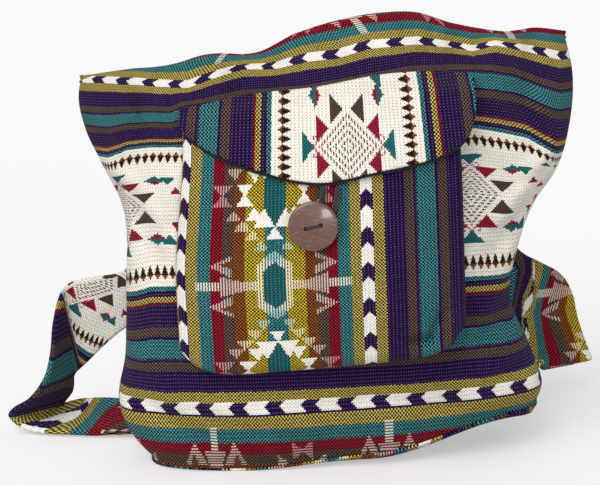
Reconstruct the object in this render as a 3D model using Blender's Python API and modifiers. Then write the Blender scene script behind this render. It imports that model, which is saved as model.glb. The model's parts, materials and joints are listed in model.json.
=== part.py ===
"""A hand-woven cloth backpack: a stuffed, striped bag with a flapped patch pocket, a coconut-shell
button on a cloth loop, two wide cloth straps and a zip along its top.

The frame is in metres with +Z up. The bag stands on the floor at z = 0, its front faces -Y, and the
seam between its front and back runs up each side in the plane y = 0.
"""

import math

import bmesh
import bpy
import numpy as np
from mathutils import Vector

MM = 0.001

# Cloth and clearances
CLOTH = 2.2 * MM  # woven cotton with its backing
LINING = 0.8 * MM
GAP = 0.3 * MM  # between pieces that are sewn or laid together
SEAM_STRIP = 3.0 * MM  # the flat strip of cloth beside a seam

# The bag's outline, as (height, half width) up each side, in mm
LEFT_SIDE = [
    (0, 142), (20, 158), (48, 169), (87, 162), (140, 158), (205, 158), (236, 171), (264, 182), (292, 185), (306, 181),
]
RIGHT_SIDE = [
    (0, 130), (20, 147), (48, 163), (75, 156), (118, 140), (158, 146), (190, 160), (215, 177), (252, 189), (292, 192),
    (326, 185),
]
# The puffed ridge along the top, as (place across, height), in mm
RIDGE = [(-190, 304), (-150, 308), (-112, 311), (-88, 317), (-45, 318), (-18, 330), (10, 338), (45, 343), (75, 342),
         (100, 333), (120, 328), (140, 325), (165, 326), (190, 322)]
# From the base seam over the ridge and down to the zip: depth in mm, share of the ridge's height,
# and share of the drop from the ridge to the zip
FRONT_PROFILE = [
    (54, 0.0, 0), (64, 0.05, 0), (71, 0.14, 0), (76, 0.3, 0), (77, 0.47, 0), (74, 0.62, 0), (62, 0.77, 0), (44, 0.88, 0),
    (28, 0.96, 0), (17, 1.0, 0), (9, 0.995, 0.22), (7.5, 1.0, 0.6),
]
BACK_PROFILE = [
    (50, 0.0, 0), (58, 0.06, 0), (62, 0.2, 0), (60, 0.45, 0), (56, 0.65, 0), (46, 0.8, 0), (33, 0.91, 0),
    (17, 0.985, 0), (9, 0.98, 0.25), (7.5, 0.985, 0.6),
]
BASE_SQUARENESS = 3.0  # the plan's power at the base, where it is nearly a rectangle
TOP_SQUARENESS = 2.1  # and at the top, where the front and back draw together
SEAM_HEIGHT = 6 * MM  # the seam of the base above the floor
LIFT = 24 * MM  # how far the right corner stands off the floor
LIFT_FROM = 25 * MM  # where the lift begins
LIFT_RUN = 115 * MM
ROLL = 8 * MM  # how much further the base's rim rolls up, from the middle to the right
ROLL_FROM = -70 * MM
ROLL_RUN = 100 * MM
BASE_FLAT = 0.9  # the share of the base below its rim
BASE_REST = 0.62  # the share that lies flat where the rim rolls up

# Zip
ZIP_LEFT = Vector((-160 * MM, 0, 293 * MM))  # top of the tape at its two ends
ZIP_RIGHT = Vector((160 * MM, 0, 310 * MM))
ZIP_DRAW_IN = 17 * MM  # how far the panels' corners draw in from the ears to the zip
TAPE_THICK = 0.9 * MM
TAPE_WIDTH = 11 * MM
POST_SLOT = 1.6 * MM  # the clear way between the two rows of teeth
TOOTH_PITCH = 6 * MM
TOOTH = Vector((3 * MM, 2.4 * MM, 2.2 * MM))
SLIDER_LENGTH = 12 * MM
SLIDER_WIDTH = 9 * MM
SLIDER_PLATE = 1.2 * MM
PULL_LENGTH = 26 * MM
PULL_WIDTH = 7 * MM
PULL_THICK = 1.4 * MM
STOP_LENGTH = 4 * MM
END_MARGIN = 5 * MM  # tape left beyond the last teeth
ZIP_LENGTH = (ZIP_RIGHT - ZIP_LEFT).length
SLIDER_AT = ZIP_LENGTH - END_MARGIN - STOP_LENGTH - SLIDER_LENGTH / 2 - 2 * GAP
SLIDER_POST = POST_SLOT - 2 * GAP
ARCH_HALF = 4.5 * MM  # the slider's arch, which holds the pull
ARCH_BAR = 1.0 * MM
ARCH_DEPTH = 1.6 * MM
ARCH_CLEAR = PULL_THICK + 1.0 * MM
EYE_LENGTH = 5.5 * MM  # the pull's eye
EYE_HALF = 1.4 * MM

# Pocket
POCKET_LEFT = -110 * MM
POCKET_RIGHT = 100 * MM
POCKET_BOTTOM = 82 * MM
POCKET_SLANT = 0.06  # its bottom edge rises towards the right
POCKET_CORNER = 22 * MM  # how far the bottom edge rises into its corners
POCKET_PROUD_LEFT = 12 * MM
POCKET_PROUD_RIGHT = 24 * MM
POCKET_BELLY = 10 * MM
POCKET_CLEAR = 1.0 * MM  # from the front panel to the pocket's edge
MOUTH_BELOW_FLAP_SEAM = 15 * MM

# Flap
FLAP_LEFT = -106 * MM
FLAP_RIGHT = 112 * MM
FLAP_SEAM = [(-106, 280), (-60, 288), (0, 293.5), (45, 300), (90, 300), (112, 297.5)]  # its sewn edge
FLAP_DROP = 64 * MM
FLAP_END_DROP = 8 * MM
FLAP_LEFT_POWER = 1.5  # the lower edge runs slantwise at the left
FLAP_RIGHT_POWER = 3.2  # and turns a round corner at the right
FLAP_SEAM_PROUD = 5.5 * MM
FLAP_OVER_POCKET = 7.5 * MM
LINING_SHOWS = 1.6 * MM  # the dark edge below the flap
LINING_STARTS = 7 * MM  # below the flap's sewn edge
LINING_INSET = 3 * MM  # at the flap's two ends

# Button and its loop
BUTTON_CENTRE_X = -10 * MM
BUTTON_CENTRE_Z = 199.5 * MM
BUTTON_RADIUS = 18 * MM
BUTTON_EDGE = 2.4 * MM
BUTTON_DOME = 2.2 * MM
BUTTON_SHANK = 6.5 * MM  # thread between the pocket and the button
BUTTON_AROUND = 28
HOLE_RADIUS = 1.5 * MM
HOLE_SPACING = 11 * MM
THREAD_RADIUS = 0.9 * MM
LOOP_RADIUS = 1.9 * MM
LOOP_SPREAD = 8.5 * MM  # half the distance between its two strands
LOOP_START_X = (-1 * MM, 9 * MM)

# Straps
STRAP_WIDTH = 50 * MM
STRAP_THICK = 5 * MM
STRAP_SEAT = 0.9 * MM  # from the back panel, over its folds
STRAP_END_CLEAR = 2.5 * MM  # over the curve of the corner that it ends against
STRAP_END_SHARE = 0.06  # how far up the back panel's profile the lower end is sewn
STRAP_END_TURN = 0.62  # and how far round towards the side seam
STRAP_ROWS = 36
# Where the back panel's folds are felt under a sewn end, as distances across and up in mm
UNDER_STRAP = [(dx, dz) for dx in (-22, -11, 0, 11, 22) for dz in (-12, 0, 12)]
# The sewn top of each strap on the back panel: place across and height in mm, and slant
LEFT_SEWN = [(-30, 288, 0.0), (-36, 262, 0.05)]
RIGHT_SEWN = [(30, 288, 0.0), (36, 262, -0.05)]
# The free part of each strap: a point of its middle line in mm, and half its width as a vector, where 1
# is half of STRAP_WIDTH and a slanting fold is longer
LEFT_ROUTE = [
    ((-62, 72, 196), (0.85, 0, -0.5)), ((-112, 78, 152), (0.55, 0, -0.8)), ((-150, 78, 123), (0.3, 0, -0.9)),
    ((-172.5, 78, 110), (0.05, 0, -0.95)), ((-191, 81, 102), (0.11, 0.04, -1.15)), ((-209, 81, 93), (0.17, 0.1, -1.38)),
    ((-220, 78, 84), (0.1, 0.25, -1.45)), ((-224, 73, 72), (0.12, 0.6, -1.15)), ((-226, 72, 58), (0.17, 0.75, -0.75)),
    ((-230, 73, 44), (0.3, 0.85, -0.4)), ((-238, 77, 31), (0.6, 0.75, -0.08)), ((-249, 83, 22), (0.85, 0.5, 0.02)),
    ((-253, 87, 15), (0.85, 0.5, 0.05)), ((-243, 84, 10.5), (0.6, 0.78, 0.2)), ((-218, 79, 11), (0.15, 0.94, 0.3)),
    ((-192, 72, 12), (0.02, 0.93, 0.34)),
]
RIGHT_ROUTE = [
    ((70, 80, 200), (0.85, 0, 0.5)), ((114, 90, 150), (0.62, 0.04, 0.75)), ((150, 94, 112), (0.4, 0.1, 0.9)),
    ((164.5, 96, 101), (0.5, 0.16, 0.88)), ((178, 99, 86), (0.69, 0.2, 1.0)), ((186, 101, 70), (0.78, 0.2, 0.93)),
    ((192, 103, 51), (0.78, 0.2, 0.62)), ((199, 105, 33), (0.9, 0.18, 0.15)), ((200, 113, 33), (0.88, 0.22, 0.15)),
    ((193, 119, 41), (0.7, 0.25, 0.5)), ((181, 119, 43), (0.38, 0.6, 0.58)), ((163, 108, 40), (0.0, 0.85, 0.42)),
    ((146, 86, 43), (-0.35, 0.88, 0.05)),
]

# Folds: a ridge or a valley along a line across the front, as two ends (x, z), height and width in mm
FRONT_FOLDS = [
    ((-172, 300), (-150, 250), 5, 9), ((-140, 306), (-128, 262), -5, 9), ((-100, 312), (-88, 280), 4, 8),
    ((-70, 316), (-62, 290), -5, 8), ((-20, 330), (-28, 300), -4, 8), ((110, 330), (98, 305), -5, 9),
    ((140, 326), (132, 285), 4, 8), ((165, 322), (150, 262), -5, 9), ((-160, 236), (-125, 205), 5, 9),
    ((-150, 215), (-128, 170), -4, 9), ((175, 240), (130, 190), 6, 9), ((160, 205), (125, 165), -5, 8),
    ((150, 160), (115, 120), 5, 9), ((150, 130), (118, 100), -4, 8), ((-155, 110), (-122, 60), 4, 10),
    ((-150, 60), (-100, 30), -4, 9), ((150, 95), (112, 70), 4, 9), ((-90, 60), (-20, 38), 3, 10),
    ((20, 60), (90, 45), -3, 9),
]
BACK_FOLDS = [
    ((-150, 300), (-120, 240), 5, 10), ((-60, 312), (-50, 270), -4, 9), ((60, 335), (52, 285), 5, 9),
    ((130, 322), (110, 260), -5, 9), ((-150, 200), (-90, 170), -5, 11), ((150, 195), (90, 160), 5, 11),
    ((-140, 90), (-80, 120), 4, 11), ((140, 80), (70, 110), -4, 11),
]

# The woven stripes, from the middle of the cream outwards: width in mm and colour
STRIPES = [
    (57, "#f0e8d2"), (3, "#1f6f72"), (4.5, "#3a1a66"), (4, "#b9a944"), (2, "#a3153a"), (18, "#3a1a66"),
    (6.5, "#5d4a44"), (2.5, "#3a1a66"), (15, "#1f6f72"), (2.5, "#3a1a66"), (7, "#5d4a44"), (17, "#3a1a66"),
    (8.5, "#b9a944"), (10, "#3a1a66"), (8.5, "#b9a944"), (9.5, "#1f6f72"), (9, "#a3153a"), (8, "#5d4a44"),
    (8.5, "#8a4a1c"), (12.5, "#d8b82a"), (11, "#e8dfc8"),
]
CREAM_HEIGHT = 192 * MM  # where the middle of the cream runs across the front
GOLD_ACROSS = -40 * MM  # where the pocket's other middle runs up it
FLAP_CREAM_ACROSS = 12 * MM

CHARCOAL = "#1c181a"
SHELL_BROWN = "#7a4c3e"
BRASS = "#b08d4a"


def clear_scene():
    """Removes the objects that the scene starts with."""
    for thing in list(bpy.data.objects):
        bpy.data.objects.remove(thing, do_unlink=True)


def linear(hex_colour):
    """An sRGB hex colour as linear red, green, blue and alpha."""
    parts = [int(hex_colour[i : i + 2], 16) / 255 for i in (1, 3, 5)]
    return [c / 12.92 if c <= 0.04045 else ((c + 0.055) / 1.055) ** 2.4 for c in parts] + [1.0]


def through(points):
    """A smooth curve through (x, y) points, each slope taken from its neighbours. Values are in mm."""
    xs, ys = (np.array(c, float) for c in zip(*points))
    slopes = np.gradient(ys, xs)

    def at(x):
        x = float(np.clip(x / MM, xs[0], xs[-1]))
        k = min(int(np.searchsorted(xs, x, "right")) - 1, len(xs) - 2)
        width = xs[k + 1] - xs[k]
        t = (x - xs[k]) / width
        rise = (1 + 2 * t) * (1 - t) ** 2 * ys[k] + t * t * (3 - 2 * t) * ys[k + 1]
        return MM * (rise + t * (1 - t) * width * ((1 - t) * slopes[k] - t * slopes[k + 1]))

    return at


left_side, right_side = through(LEFT_SIDE), through(RIGHT_SIDE)
ridge, flap_seam = through(RIDGE), through(FLAP_SEAM)


def clamp(x):
    return min(max(x, 0.0), 1.0)


def smooth(x):
    x = clamp(x)
    return x * x * (3 - 2 * x)


def along(points, share):
    """A point on the smooth curve through a list of points, at a share of the way by index."""
    place = clamp(share) * (len(points) - 1)
    k = min(int(place), len(points) - 2)
    t = place - k
    p = [np.array(points[min(max(i, 0), len(points) - 1)], float) for i in (k - 1, k, k + 1, k + 2)]
    return 0.5 * (2 * p[1] + t * (p[2] - p[0]) + t * t * (2 * p[0] - 5 * p[1] + 4 * p[2] - p[3])
                  + t ** 3 * (3 * p[1] - p[0] - 3 * p[2] + p[3]))


def half_width(x, z):
    return left_side(z) if x < 0 else right_side(z)


def squareness(z):
    return BASE_SQUARENESS + (TOP_SQUARENESS - BASE_SQUARENESS) * smooth(z / (300 * MM))


def zip_height(x):
    """The top of the zip's tape, a straight line from end to end."""
    share = (x - ZIP_LEFT.x) / (ZIP_RIGHT.x - ZIP_LEFT.x)
    return ZIP_LEFT.z + share * (ZIP_RIGHT.z - ZIP_LEFT.z)


def lift(x):
    """How far the bag stands off the floor towards its right corner."""
    return LIFT * smooth((x - LIFT_FROM) / LIFT_RUN)


def roll(x):
    """How much further the rim of the base rolls up there."""
    return ROLL * smooth((x - ROLL_FROM) / ROLL_RUN)


def seam_height(x):
    return SEAM_HEIGHT + lift(x) + roll(x)


def folds(lines, x, z):
    """The sum of the cloth's folds at a place on a panel."""
    total = 0.0
    for (x0, z0), (x1, z1), height, width in lines:
        dx, dz = x1 - x0, z1 - z0
        share = ((x / MM - x0) * dx + (z / MM - z0) * dz) / (dx * dx + dz * dz)
        off = math.hypot(x / MM - x0 - clamp(share) * dx, z / MM - z0 - clamp(share) * dz)
        total += height * MM * math.exp(-((off / width) ** 2))
    return total


def panel_point(profile, side, share, turn):
    """A point on the front (side -1) or back (side 1) without folds. share runs from the base seam to
    the zip, and turn from -1 at the left side seam to 1 at the right one."""
    depth, height_share, drop = along(profile, share)
    angle = turn * math.pi / 2
    end = math.copysign(1, turn)
    end_ridge = ridge(end * RIDGE[-1][0] * MM)
    end_low = seam_height(end * LEFT_SIDE[2][1] * MM)
    end_z = end_low + height_share * (end_ridge - end_low)
    power = 2 / squareness(end_z)
    wide = half_width(turn, end_z) - ZIP_DRAW_IN * smooth(drop)
    x = end * wide * abs(math.sin(angle)) ** power
    low = seam_height(x)
    z = low + height_share * (ridge(x) - low)
    z += drop * (zip_height(x) - z)
    y = GAP / 2 + SEAM_STRIP + (depth * MM - SEAM_STRIP) * abs(math.cos(angle)) ** power
    if abs(turn) == 1:
        y = GAP / 2 + SEAM_STRIP
    return Vector((x, side * y, z))


def grid_of(name, columns, rows, place, flip=False, weld=False):
    """A grid of faces, each vertex moved to place(column, row). weld joins the vertices that meet."""
    mesh = bpy.data.meshes.new(name)
    bm = bmesh.new()
    bmesh.ops.create_grid(bm, x_segments=columns, y_segments=rows, size=0.5)
    for v in bm.verts:
        v.co = place(round((v.co.x + 0.5) * columns), round((v.co.y + 0.5) * rows))
    if weld:
        bmesh.ops.remove_doubles(bm, verts=bm.verts, dist=0.01 * MM)
    if flip:
        bmesh.ops.reverse_faces(bm, faces=bm.faces)
    bm.to_mesh(mesh)
    bm.free()
    mesh.shade_smooth()
    thing = bpy.data.objects.new(name, mesh)
    bag.objects.link(thing)
    return thing


def thicken(thing, thickness, offset=-1):
    """Turns an open sheet into cloth of that thickness, inwards unless offset says otherwise."""
    wall = thing.modifiers.new("cloth", "SOLIDIFY")
    wall.thickness = thickness
    wall.offset = offset
    return thing


def finish(thing, colour, roughness=0.9, metallic=0.0, stripes=None):
    """Gives a piece its material. stripes is (axis, middle): the weave's bands counted from there."""
    material = bpy.data.materials.new(thing.name)
    material.use_nodes = True
    nodes, links = material.node_tree.nodes, material.node_tree.links
    shader = nodes["Principled BSDF"]
    shader.inputs["Base Color"].default_value = linear(colour)
    shader.inputs["Roughness"].default_value = roughness
    shader.inputs["Metallic"].default_value = metallic
    thing.data.materials.append(material)
    if not stripes:
        return
    axis, middle = stripes
    half_repeat = sum(width for width, _ in STRIPES) * MM
    place = nodes.new("ShaderNodeTexCoord")
    split = nodes.new("ShaderNodeSeparateXYZ")
    centred = nodes.new("ShaderNodeMath")
    centred.operation = "SUBTRACT"
    centred.inputs[1].default_value = middle
    folded = nodes.new("ShaderNodeMath")
    folded.operation = "PINGPONG"
    folded.inputs[1].default_value = half_repeat
    scaled = nodes.new("ShaderNodeMath")
    scaled.operation = "DIVIDE"
    scaled.inputs[1].default_value = half_repeat
    bands = nodes.new("ShaderNodeValToRGB")
    bands.color_ramp.interpolation = "CONSTANT"
    at = 0.0
    for i, (width, band_colour) in enumerate(STRIPES):
        stop = bands.color_ramp.elements[0] if i == 0 else bands.color_ramp.elements.new(at)
        if i == 1:
            bands.color_ramp.elements.remove(bands.color_ramp.elements[-1])
            stop = bands.color_ramp.elements.new(at)
        stop.position = at
        stop.color = linear(band_colour)
        at += width * MM / half_repeat
    links.new(place.outputs["Object"], split.inputs[0])
    links.new(split.outputs[axis], centred.inputs[0])
    links.new(centred.outputs[0], folded.inputs[0])
    links.new(folded.outputs[0], scaled.inputs[0])
    links.new(scaled.outputs[0], bands.inputs[0])
    links.new(bands.outputs[0], shader.inputs["Base Color"])


def make_panel(name, profile, side, lines, columns, rows):
    """A body panel with a flat strip beside each of its four seams."""
    last_column, last_row = columns + 2, rows + 2

    def place(i, j):
        turn = clamp((i - 1) / columns) * 2 - 1
        share = clamp((j - 1) / rows)
        p = panel_point(profile, side, share, turn)
        inner = smooth((1 - abs(turn)) * 9) * smooth(share * 9) * smooth((1 - share) * 7)
        p.y += side * inner * folds(lines, p.x, p.z)
        if j == 0:
            p.z -= SEAM_STRIP
        if j == last_row:
            p.z = zip_height(p.x)
        if i in (0, last_column):
            p.y = side * GAP / 2
        return p

    return thicken(grid_of(name, last_column, last_row, place, flip=side > 0), CLOTH)


def make_base():
    """A shallow tray that meets the panels' lower edges."""
    around = 60
    # From the rim inwards: share of the way out, and height under the seam or, without one, on the floor
    rim = SEAM_STRIP + 2 * GAP
    steps = [(1.0, rim), (1.0, rim + 1.2 * MM), (0.975, None), (BASE_FLAT, None), (0.78, None), (BASE_REST, None),
             (0.3, None), (0.0, None)]

    def place(i, j):
        angle = 2 * math.pi * (i % around) / around
        side, profile = (1, BACK_PROFILE) if angle < math.pi else (-1, FRONT_PROFILE)
        p = panel_point(profile, side, 0, side * (1 - 2 * (angle % math.pi) / math.pi))
        if i % (around // 2) == 0:
            p.y = 0
        share, below_seam = steps[j]
        z = lift(p.x * share) + (0.4 * MM if share > BASE_FLAT else 0)
        z += roll(p.x) * smooth((share - BASE_REST) / (1.05 - BASE_REST)) * abs(p.y) / (FRONT_PROFILE[0][0] * MM)
        return Vector((p.x * share, p.y * share, z if below_seam is None else p.z - below_seam))

    return thicken(grid_of("base_panel", around, len(steps) - 1, place, flip=True, weld=True), CLOTH)


def profile_table(profile, ridge_point):
    """A profile's height shares and depths from the base seam up to the ridge, closely spaced."""
    steps = [along(profile, ridge_point / (len(profile) - 1) * k / 80) for k in range(81)]
    return [step[1] for step in steps], [step[0] for step in steps]


FRONT_TABLE = profile_table(FRONT_PROFILE, 9)
BACK_TABLE = profile_table(BACK_PROFILE, 7)


def panel_depth(table, lines, x, z):
    """How far a panel's outer face lies from the plane of the side seams, below the ridge."""
    end = math.copysign(1, x)
    low = seam_height(x)
    height_share = clamp((z - low) / (ridge(x) - low))
    depth = np.interp(height_share, *table) * MM
    end_low = seam_height(end * LEFT_SIDE[2][1] * MM)
    end_z = end_low + height_share * (ridge(end * RIDGE[-1][0] * MM) - end_low)
    power = squareness(end_z)
    across = clamp(abs(x) / half_width(x, end_z))
    y = GAP / 2 + SEAM_STRIP + (depth - SEAM_STRIP) * (1 - across**power) ** (1 / power)
    return y + folds(lines, x, z)


def front_depth(x, z):
    return panel_depth(FRONT_TABLE, FRONT_FOLDS, x, z)


def back_depth(x, z):
    return panel_depth(BACK_TABLE, BACK_FOLDS, x, z)


def mouth_height(x):
    return flap_seam(x) - MOUTH_BELOW_FLAP_SEAM


def pocket_low(x):
    """The pocket's bottom edge between its corners."""
    return POCKET_BOTTOM + POCKET_SLANT * (x - POCKET_LEFT)


def pocket_proud(x, z):
    """How far the pocket's face stands before the front panel."""
    across = clamp((x - POCKET_LEFT) / (POCKET_RIGHT - POCKET_LEFT))
    up = clamp((z - pocket_low(x)) / (mouth_height(x) - pocket_low(x)))
    walls = POCKET_PROUD_LEFT + (POCKET_PROUD_RIGHT - POCKET_PROUD_LEFT) * smooth(across)
    belly = POCKET_BELLY * math.sin(math.pi * across) * math.sin(math.pi * up ** 0.8)
    return walls * (1 - 0.35 * smooth((up - 0.75) / 0.25)) + belly


# Across a pocket wall, from its sewn edge: share of the wall's height, and distance in from the edge
WALL_STEPS = [(0.0, 0.0), (0.55, 0.0), (0.9, 3 * MM), (1.0, 10 * MM)]


def make_pocket():
    """A patch with a wall along its left, bottom and right edges, open under the flap."""
    columns, rows = 24, 16
    last = len(WALL_STEPS) - 1

    def place(i, j):
        rise, inset = WALL_STEPS[min(i, columns - i, last)]
        share = clamp((i - last) / (columns - 2 * last))
        face = POCKET_RIGHT - POCKET_LEFT - 2 * WALL_STEPS[last][1]
        x = POCKET_LEFT + WALL_STEPS[last][1] + share * face
        if min(i, columns - i) < last:
            x = POCKET_LEFT + inset if i < last else POCKET_RIGHT - inset
        edge = abs(2 * (x - POCKET_LEFT) / (POCKET_RIGHT - POCKET_LEFT) - 1)
        low = pocket_low(x) + POCKET_CORNER * edge**8
        rise_up, inset_up = WALL_STEPS[min(j, last)]
        start = low + WALL_STEPS[last][1]
        z = start + (j - last) / (rows - last) * (mouth_height(x) - start)
        if j < last:
            z = low + inset_up
        middle = (POCKET_LEFT + POCKET_RIGHT) / 2
        inner = x + math.copysign(2 * CLOTH, middle - x), z + 2 * CLOTH
        clear = POCKET_CLEAR + max(0.0, front_depth(*inner) - front_depth(x, z))
        proud = clear + (pocket_proud(x, z) - clear) * rise * rise_up
        return Vector((x, -front_depth(x, z) - proud, z))

    return thicken(grid_of("pocket_panel", columns, rows, place), CLOTH)


def flap_drop(x):
    """How far the flap's lower edge hangs below its sewn edge."""
    middle = (FLAP_LEFT + FLAP_RIGHT) / 2
    across = clamp(abs(x - middle) / (FLAP_RIGHT - middle))
    power = FLAP_LEFT_POWER if x < middle else FLAP_RIGHT_POWER
    return FLAP_END_DROP + (FLAP_DROP - FLAP_END_DROP) * (1 - across**power) ** (1 / power)


def flap_point(x, below):
    """A point of the flap's outer face at a distance below its seam."""
    z = flap_seam(x) - below
    over = pocket_proud(x, z) + FLAP_OVER_POCKET
    proud = FLAP_SEAM_PROUD + (over - FLAP_SEAM_PROUD) * smooth(below / (MOUTH_BELOW_FLAP_SEAM - 1 * MM))
    return Vector((x, -front_depth(x, z) - proud, z))


def behind_flap(x, below, distance):
    """A point behind the flap's outer face, square to it."""
    step = 2 * MM
    rise = flap_point(x, below - step) - flap_point(x, below + step)
    run = flap_point(x + step, below) - flap_point(x - step, below)
    return flap_point(x, below) - run.cross(rise).normalized() * distance


def make_flap(name, columns, rows, thickness, first=0.0, more=0.0, inward=0.0, end_inset=0.0):
    """The flap, or the lining behind it: first is where it begins below the seam, and more what it adds."""

    def place(i, j):
        turn = (i / columns * 2 - 1) * math.pi / 2
        x = (FLAP_LEFT + FLAP_RIGHT) / 2 + ((FLAP_RIGHT - FLAP_LEFT) / 2 - end_inset) * math.sin(turn)
        lowest = flap_drop(x) + more
        return behind_flap(x, lowest + (first - lowest) * j / rows, inward)

    return thicken(grid_of(name, columns, rows, place), thickness)


def make_button():
    """A domed disc turned from coconut shell, with two holes."""
    outline = [(0, 0), (BUTTON_RADIUS - 1.6 * MM, 0), (BUTTON_RADIUS, BUTTON_EDGE / 2),
               (BUTTON_RADIUS - 0.6 * MM, BUTTON_EDGE)]
    for share in (0.85, 0.6, 0.3, 0.0):
        outline.append((share * BUTTON_RADIUS, BUTTON_EDGE + BUTTON_DOME * (1 - share**2)))
    mesh = bpy.data.meshes.new("button")
    bm = bmesh.new()
    verts = [bm.verts.new((x, 0, z)) for x, z in outline]
    edges = [bm.edges.new(pair) for pair in zip(verts, verts[1:])]
    bmesh.ops.spin(bm, geom=verts + edges, axis=(0, 0, 1), cent=(0, 0, 0), angle=2 * math.pi, steps=BUTTON_AROUND,
                   use_merge=True)
    bmesh.ops.remove_doubles(bm, verts=bm.verts, dist=1e-6)
    bmesh.ops.recalc_face_normals(bm, faces=bm.faces)
    bm.to_mesh(mesh)
    bm.free()
    thing = bpy.data.objects.new("button", mesh)
    bag.objects.link(thing)
    for side in (-1, 1):
        bpy.ops.mesh.primitive_cylinder_add(vertices=12, radius=HOLE_RADIUS, depth=20 * MM,
                                            location=(side * HOLE_SPACING / 2, 0, 0))
        cutter = bpy.context.object
        cutter.name = f"button_hole_cutter_{side}"
        cutter.hide_render = True
        cutter.display_type = "WIRE"
        cutter.parent = thing
        cut = thing.modifiers.new("hole", "BOOLEAN")
        cut.object = cutter
    front = pocket_face(BUTTON_CENTRE_X, BUTTON_CENTRE_Z) + BUTTON_SHANK
    thing.location = (BUTTON_CENTRE_X, -front, BUTTON_CENTRE_Z)
    thing.rotation_euler = (math.pi / 2, 0, 0)
    return thing


def pocket_face(x, z):
    return front_depth(x, z) + pocket_proud(x, z)


def make_tube(name, points, radius, sides=2):
    """A round cord along points."""
    curve = bpy.data.curves.new(name, "CURVE")
    curve.dimensions = "3D"
    curve.bevel_depth = radius
    curve.bevel_resolution = sides
    curve.use_fill_caps = True
    spline = curve.splines.new("POLY")
    spline.points.add(len(points) - 1)
    for point, place in zip(spline.points, points):
        point.co = (*place, 1)
    thing = bpy.data.objects.new(name, curve)
    bag.objects.link(thing)
    return thing


def make_thread():
    """One stitch of thick thread: up through one hole, across the button and down the other."""
    face = pocket_face(BUTTON_CENTRE_X, BUTTON_CENTRE_Z)
    top = BUTTON_SHANK + BUTTON_EDGE + BUTTON_DOME + THREAD_RADIUS + GAP
    hole = HOLE_SPACING / 2
    steps = [(1.6 * MM, THREAD_RADIUS / 2 + 2 * GAP), (hole, BUTTON_SHANK), (hole, top - THREAD_RADIUS),
             (hole - 1.2 * MM, top)]
    route = [(-across, out) for across, out in steps] + [(across, out) for across, out in reversed(steps)]
    points = [(BUTTON_CENTRE_X + across, -face - out, BUTTON_CENTRE_Z) for across, out in route]
    return make_tube("button_thread", points, THREAD_RADIUS, 1)


def make_loop():
    """The cloth loop: down from the flap's edge, round the button's shank and back up."""
    start = min(flap_seam(x) - flap_drop(x) for x in LOOP_START_X) - LINING_SHOWS - 2.4 * MM
    route = [(LOOP_START_X[0], start), (LOOP_START_X[0] - 4 * MM, start - 12 * MM)]
    for k in range(9):
        turn = math.pi * k / 8
        across, down = LOOP_SPREAD * math.cos(turn), LOOP_SPREAD * math.sin(turn)
        route.append((BUTTON_CENTRE_X - across, BUTTON_CENTRE_Z + 1 * MM - down))
    route += [(LOOP_START_X[1] - 3 * MM, start - 14 * MM), (LOOP_START_X[1], start)]
    flat = [np.array(p) for p in route]
    points = []
    for k in range(4 * (len(flat) - 1) + 1):
        x, z = along(flat, k / (4 * (len(flat) - 1)))
        points.append((x, -pocket_face(x, z) - LOOP_RADIUS - 2 * GAP, z))
    return make_tube("button_loop", points[::2], LOOP_RADIUS)


def make_strap(name, side, sewn, route):
    """A flat cloth tube whose middle line and crosswise direction pass through the route's points. It
    starts flat against the back panel and ends against the panel's lower corner."""
    steps = []
    for x, z, slant in sewn:
        under = max(back_depth((x + dx) * MM, (z + dz) * MM) for dx, dz in UNDER_STRAP)
        y = under + STRAP_THICK / 2 + STRAP_SEAT
        steps.append((x * MM, y, z * MM, math.cos(slant), 0, -math.sin(slant)))
    steps += [tuple(c * MM for c in point) + across for point, across in route]
    corner = panel_point(BACK_PROFILE, 1, STRAP_END_SHARE, side * STRAP_END_TURN)
    before = panel_point(BACK_PROFILE, 1, STRAP_END_SHARE, side * (STRAP_END_TURN - 0.05))
    after = panel_point(BACK_PROFILE, 1, STRAP_END_SHARE, side * (STRAP_END_TURN + 0.05))
    edge = (before - after).normalized()
    out = Vector((-edge.y, edge.x, 0)) * -side
    end = corner + out * STRAP_END_CLEAR
    last_across = Vector((edge.x, edge.y, -0.3 * side)).normalized()
    for away in (14 * MM, 0):
        steps.append((*(end + out * away), *last_across))

    def place(i, j):
        step = along(steps, j / STRAP_ROWS)
        return Vector(step[:3]) + Vector(step[3:]) * STRAP_WIDTH * (i / 2 - 0.5)

    return thicken(grid_of(name, 2, STRAP_ROWS, place), STRAP_THICK, offset=0)


def on_zip(thing, from_left=0.0):
    """Places a piece of the zip, which is built along +X from the zip's left end, with the tape's top at 0."""
    run = ZIP_RIGHT - ZIP_LEFT
    thing.location = ZIP_LEFT + run.normalized() * from_left
    thing.rotation_euler = (0, -math.atan2(run.z, run.x), 0)
    return thing


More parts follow.
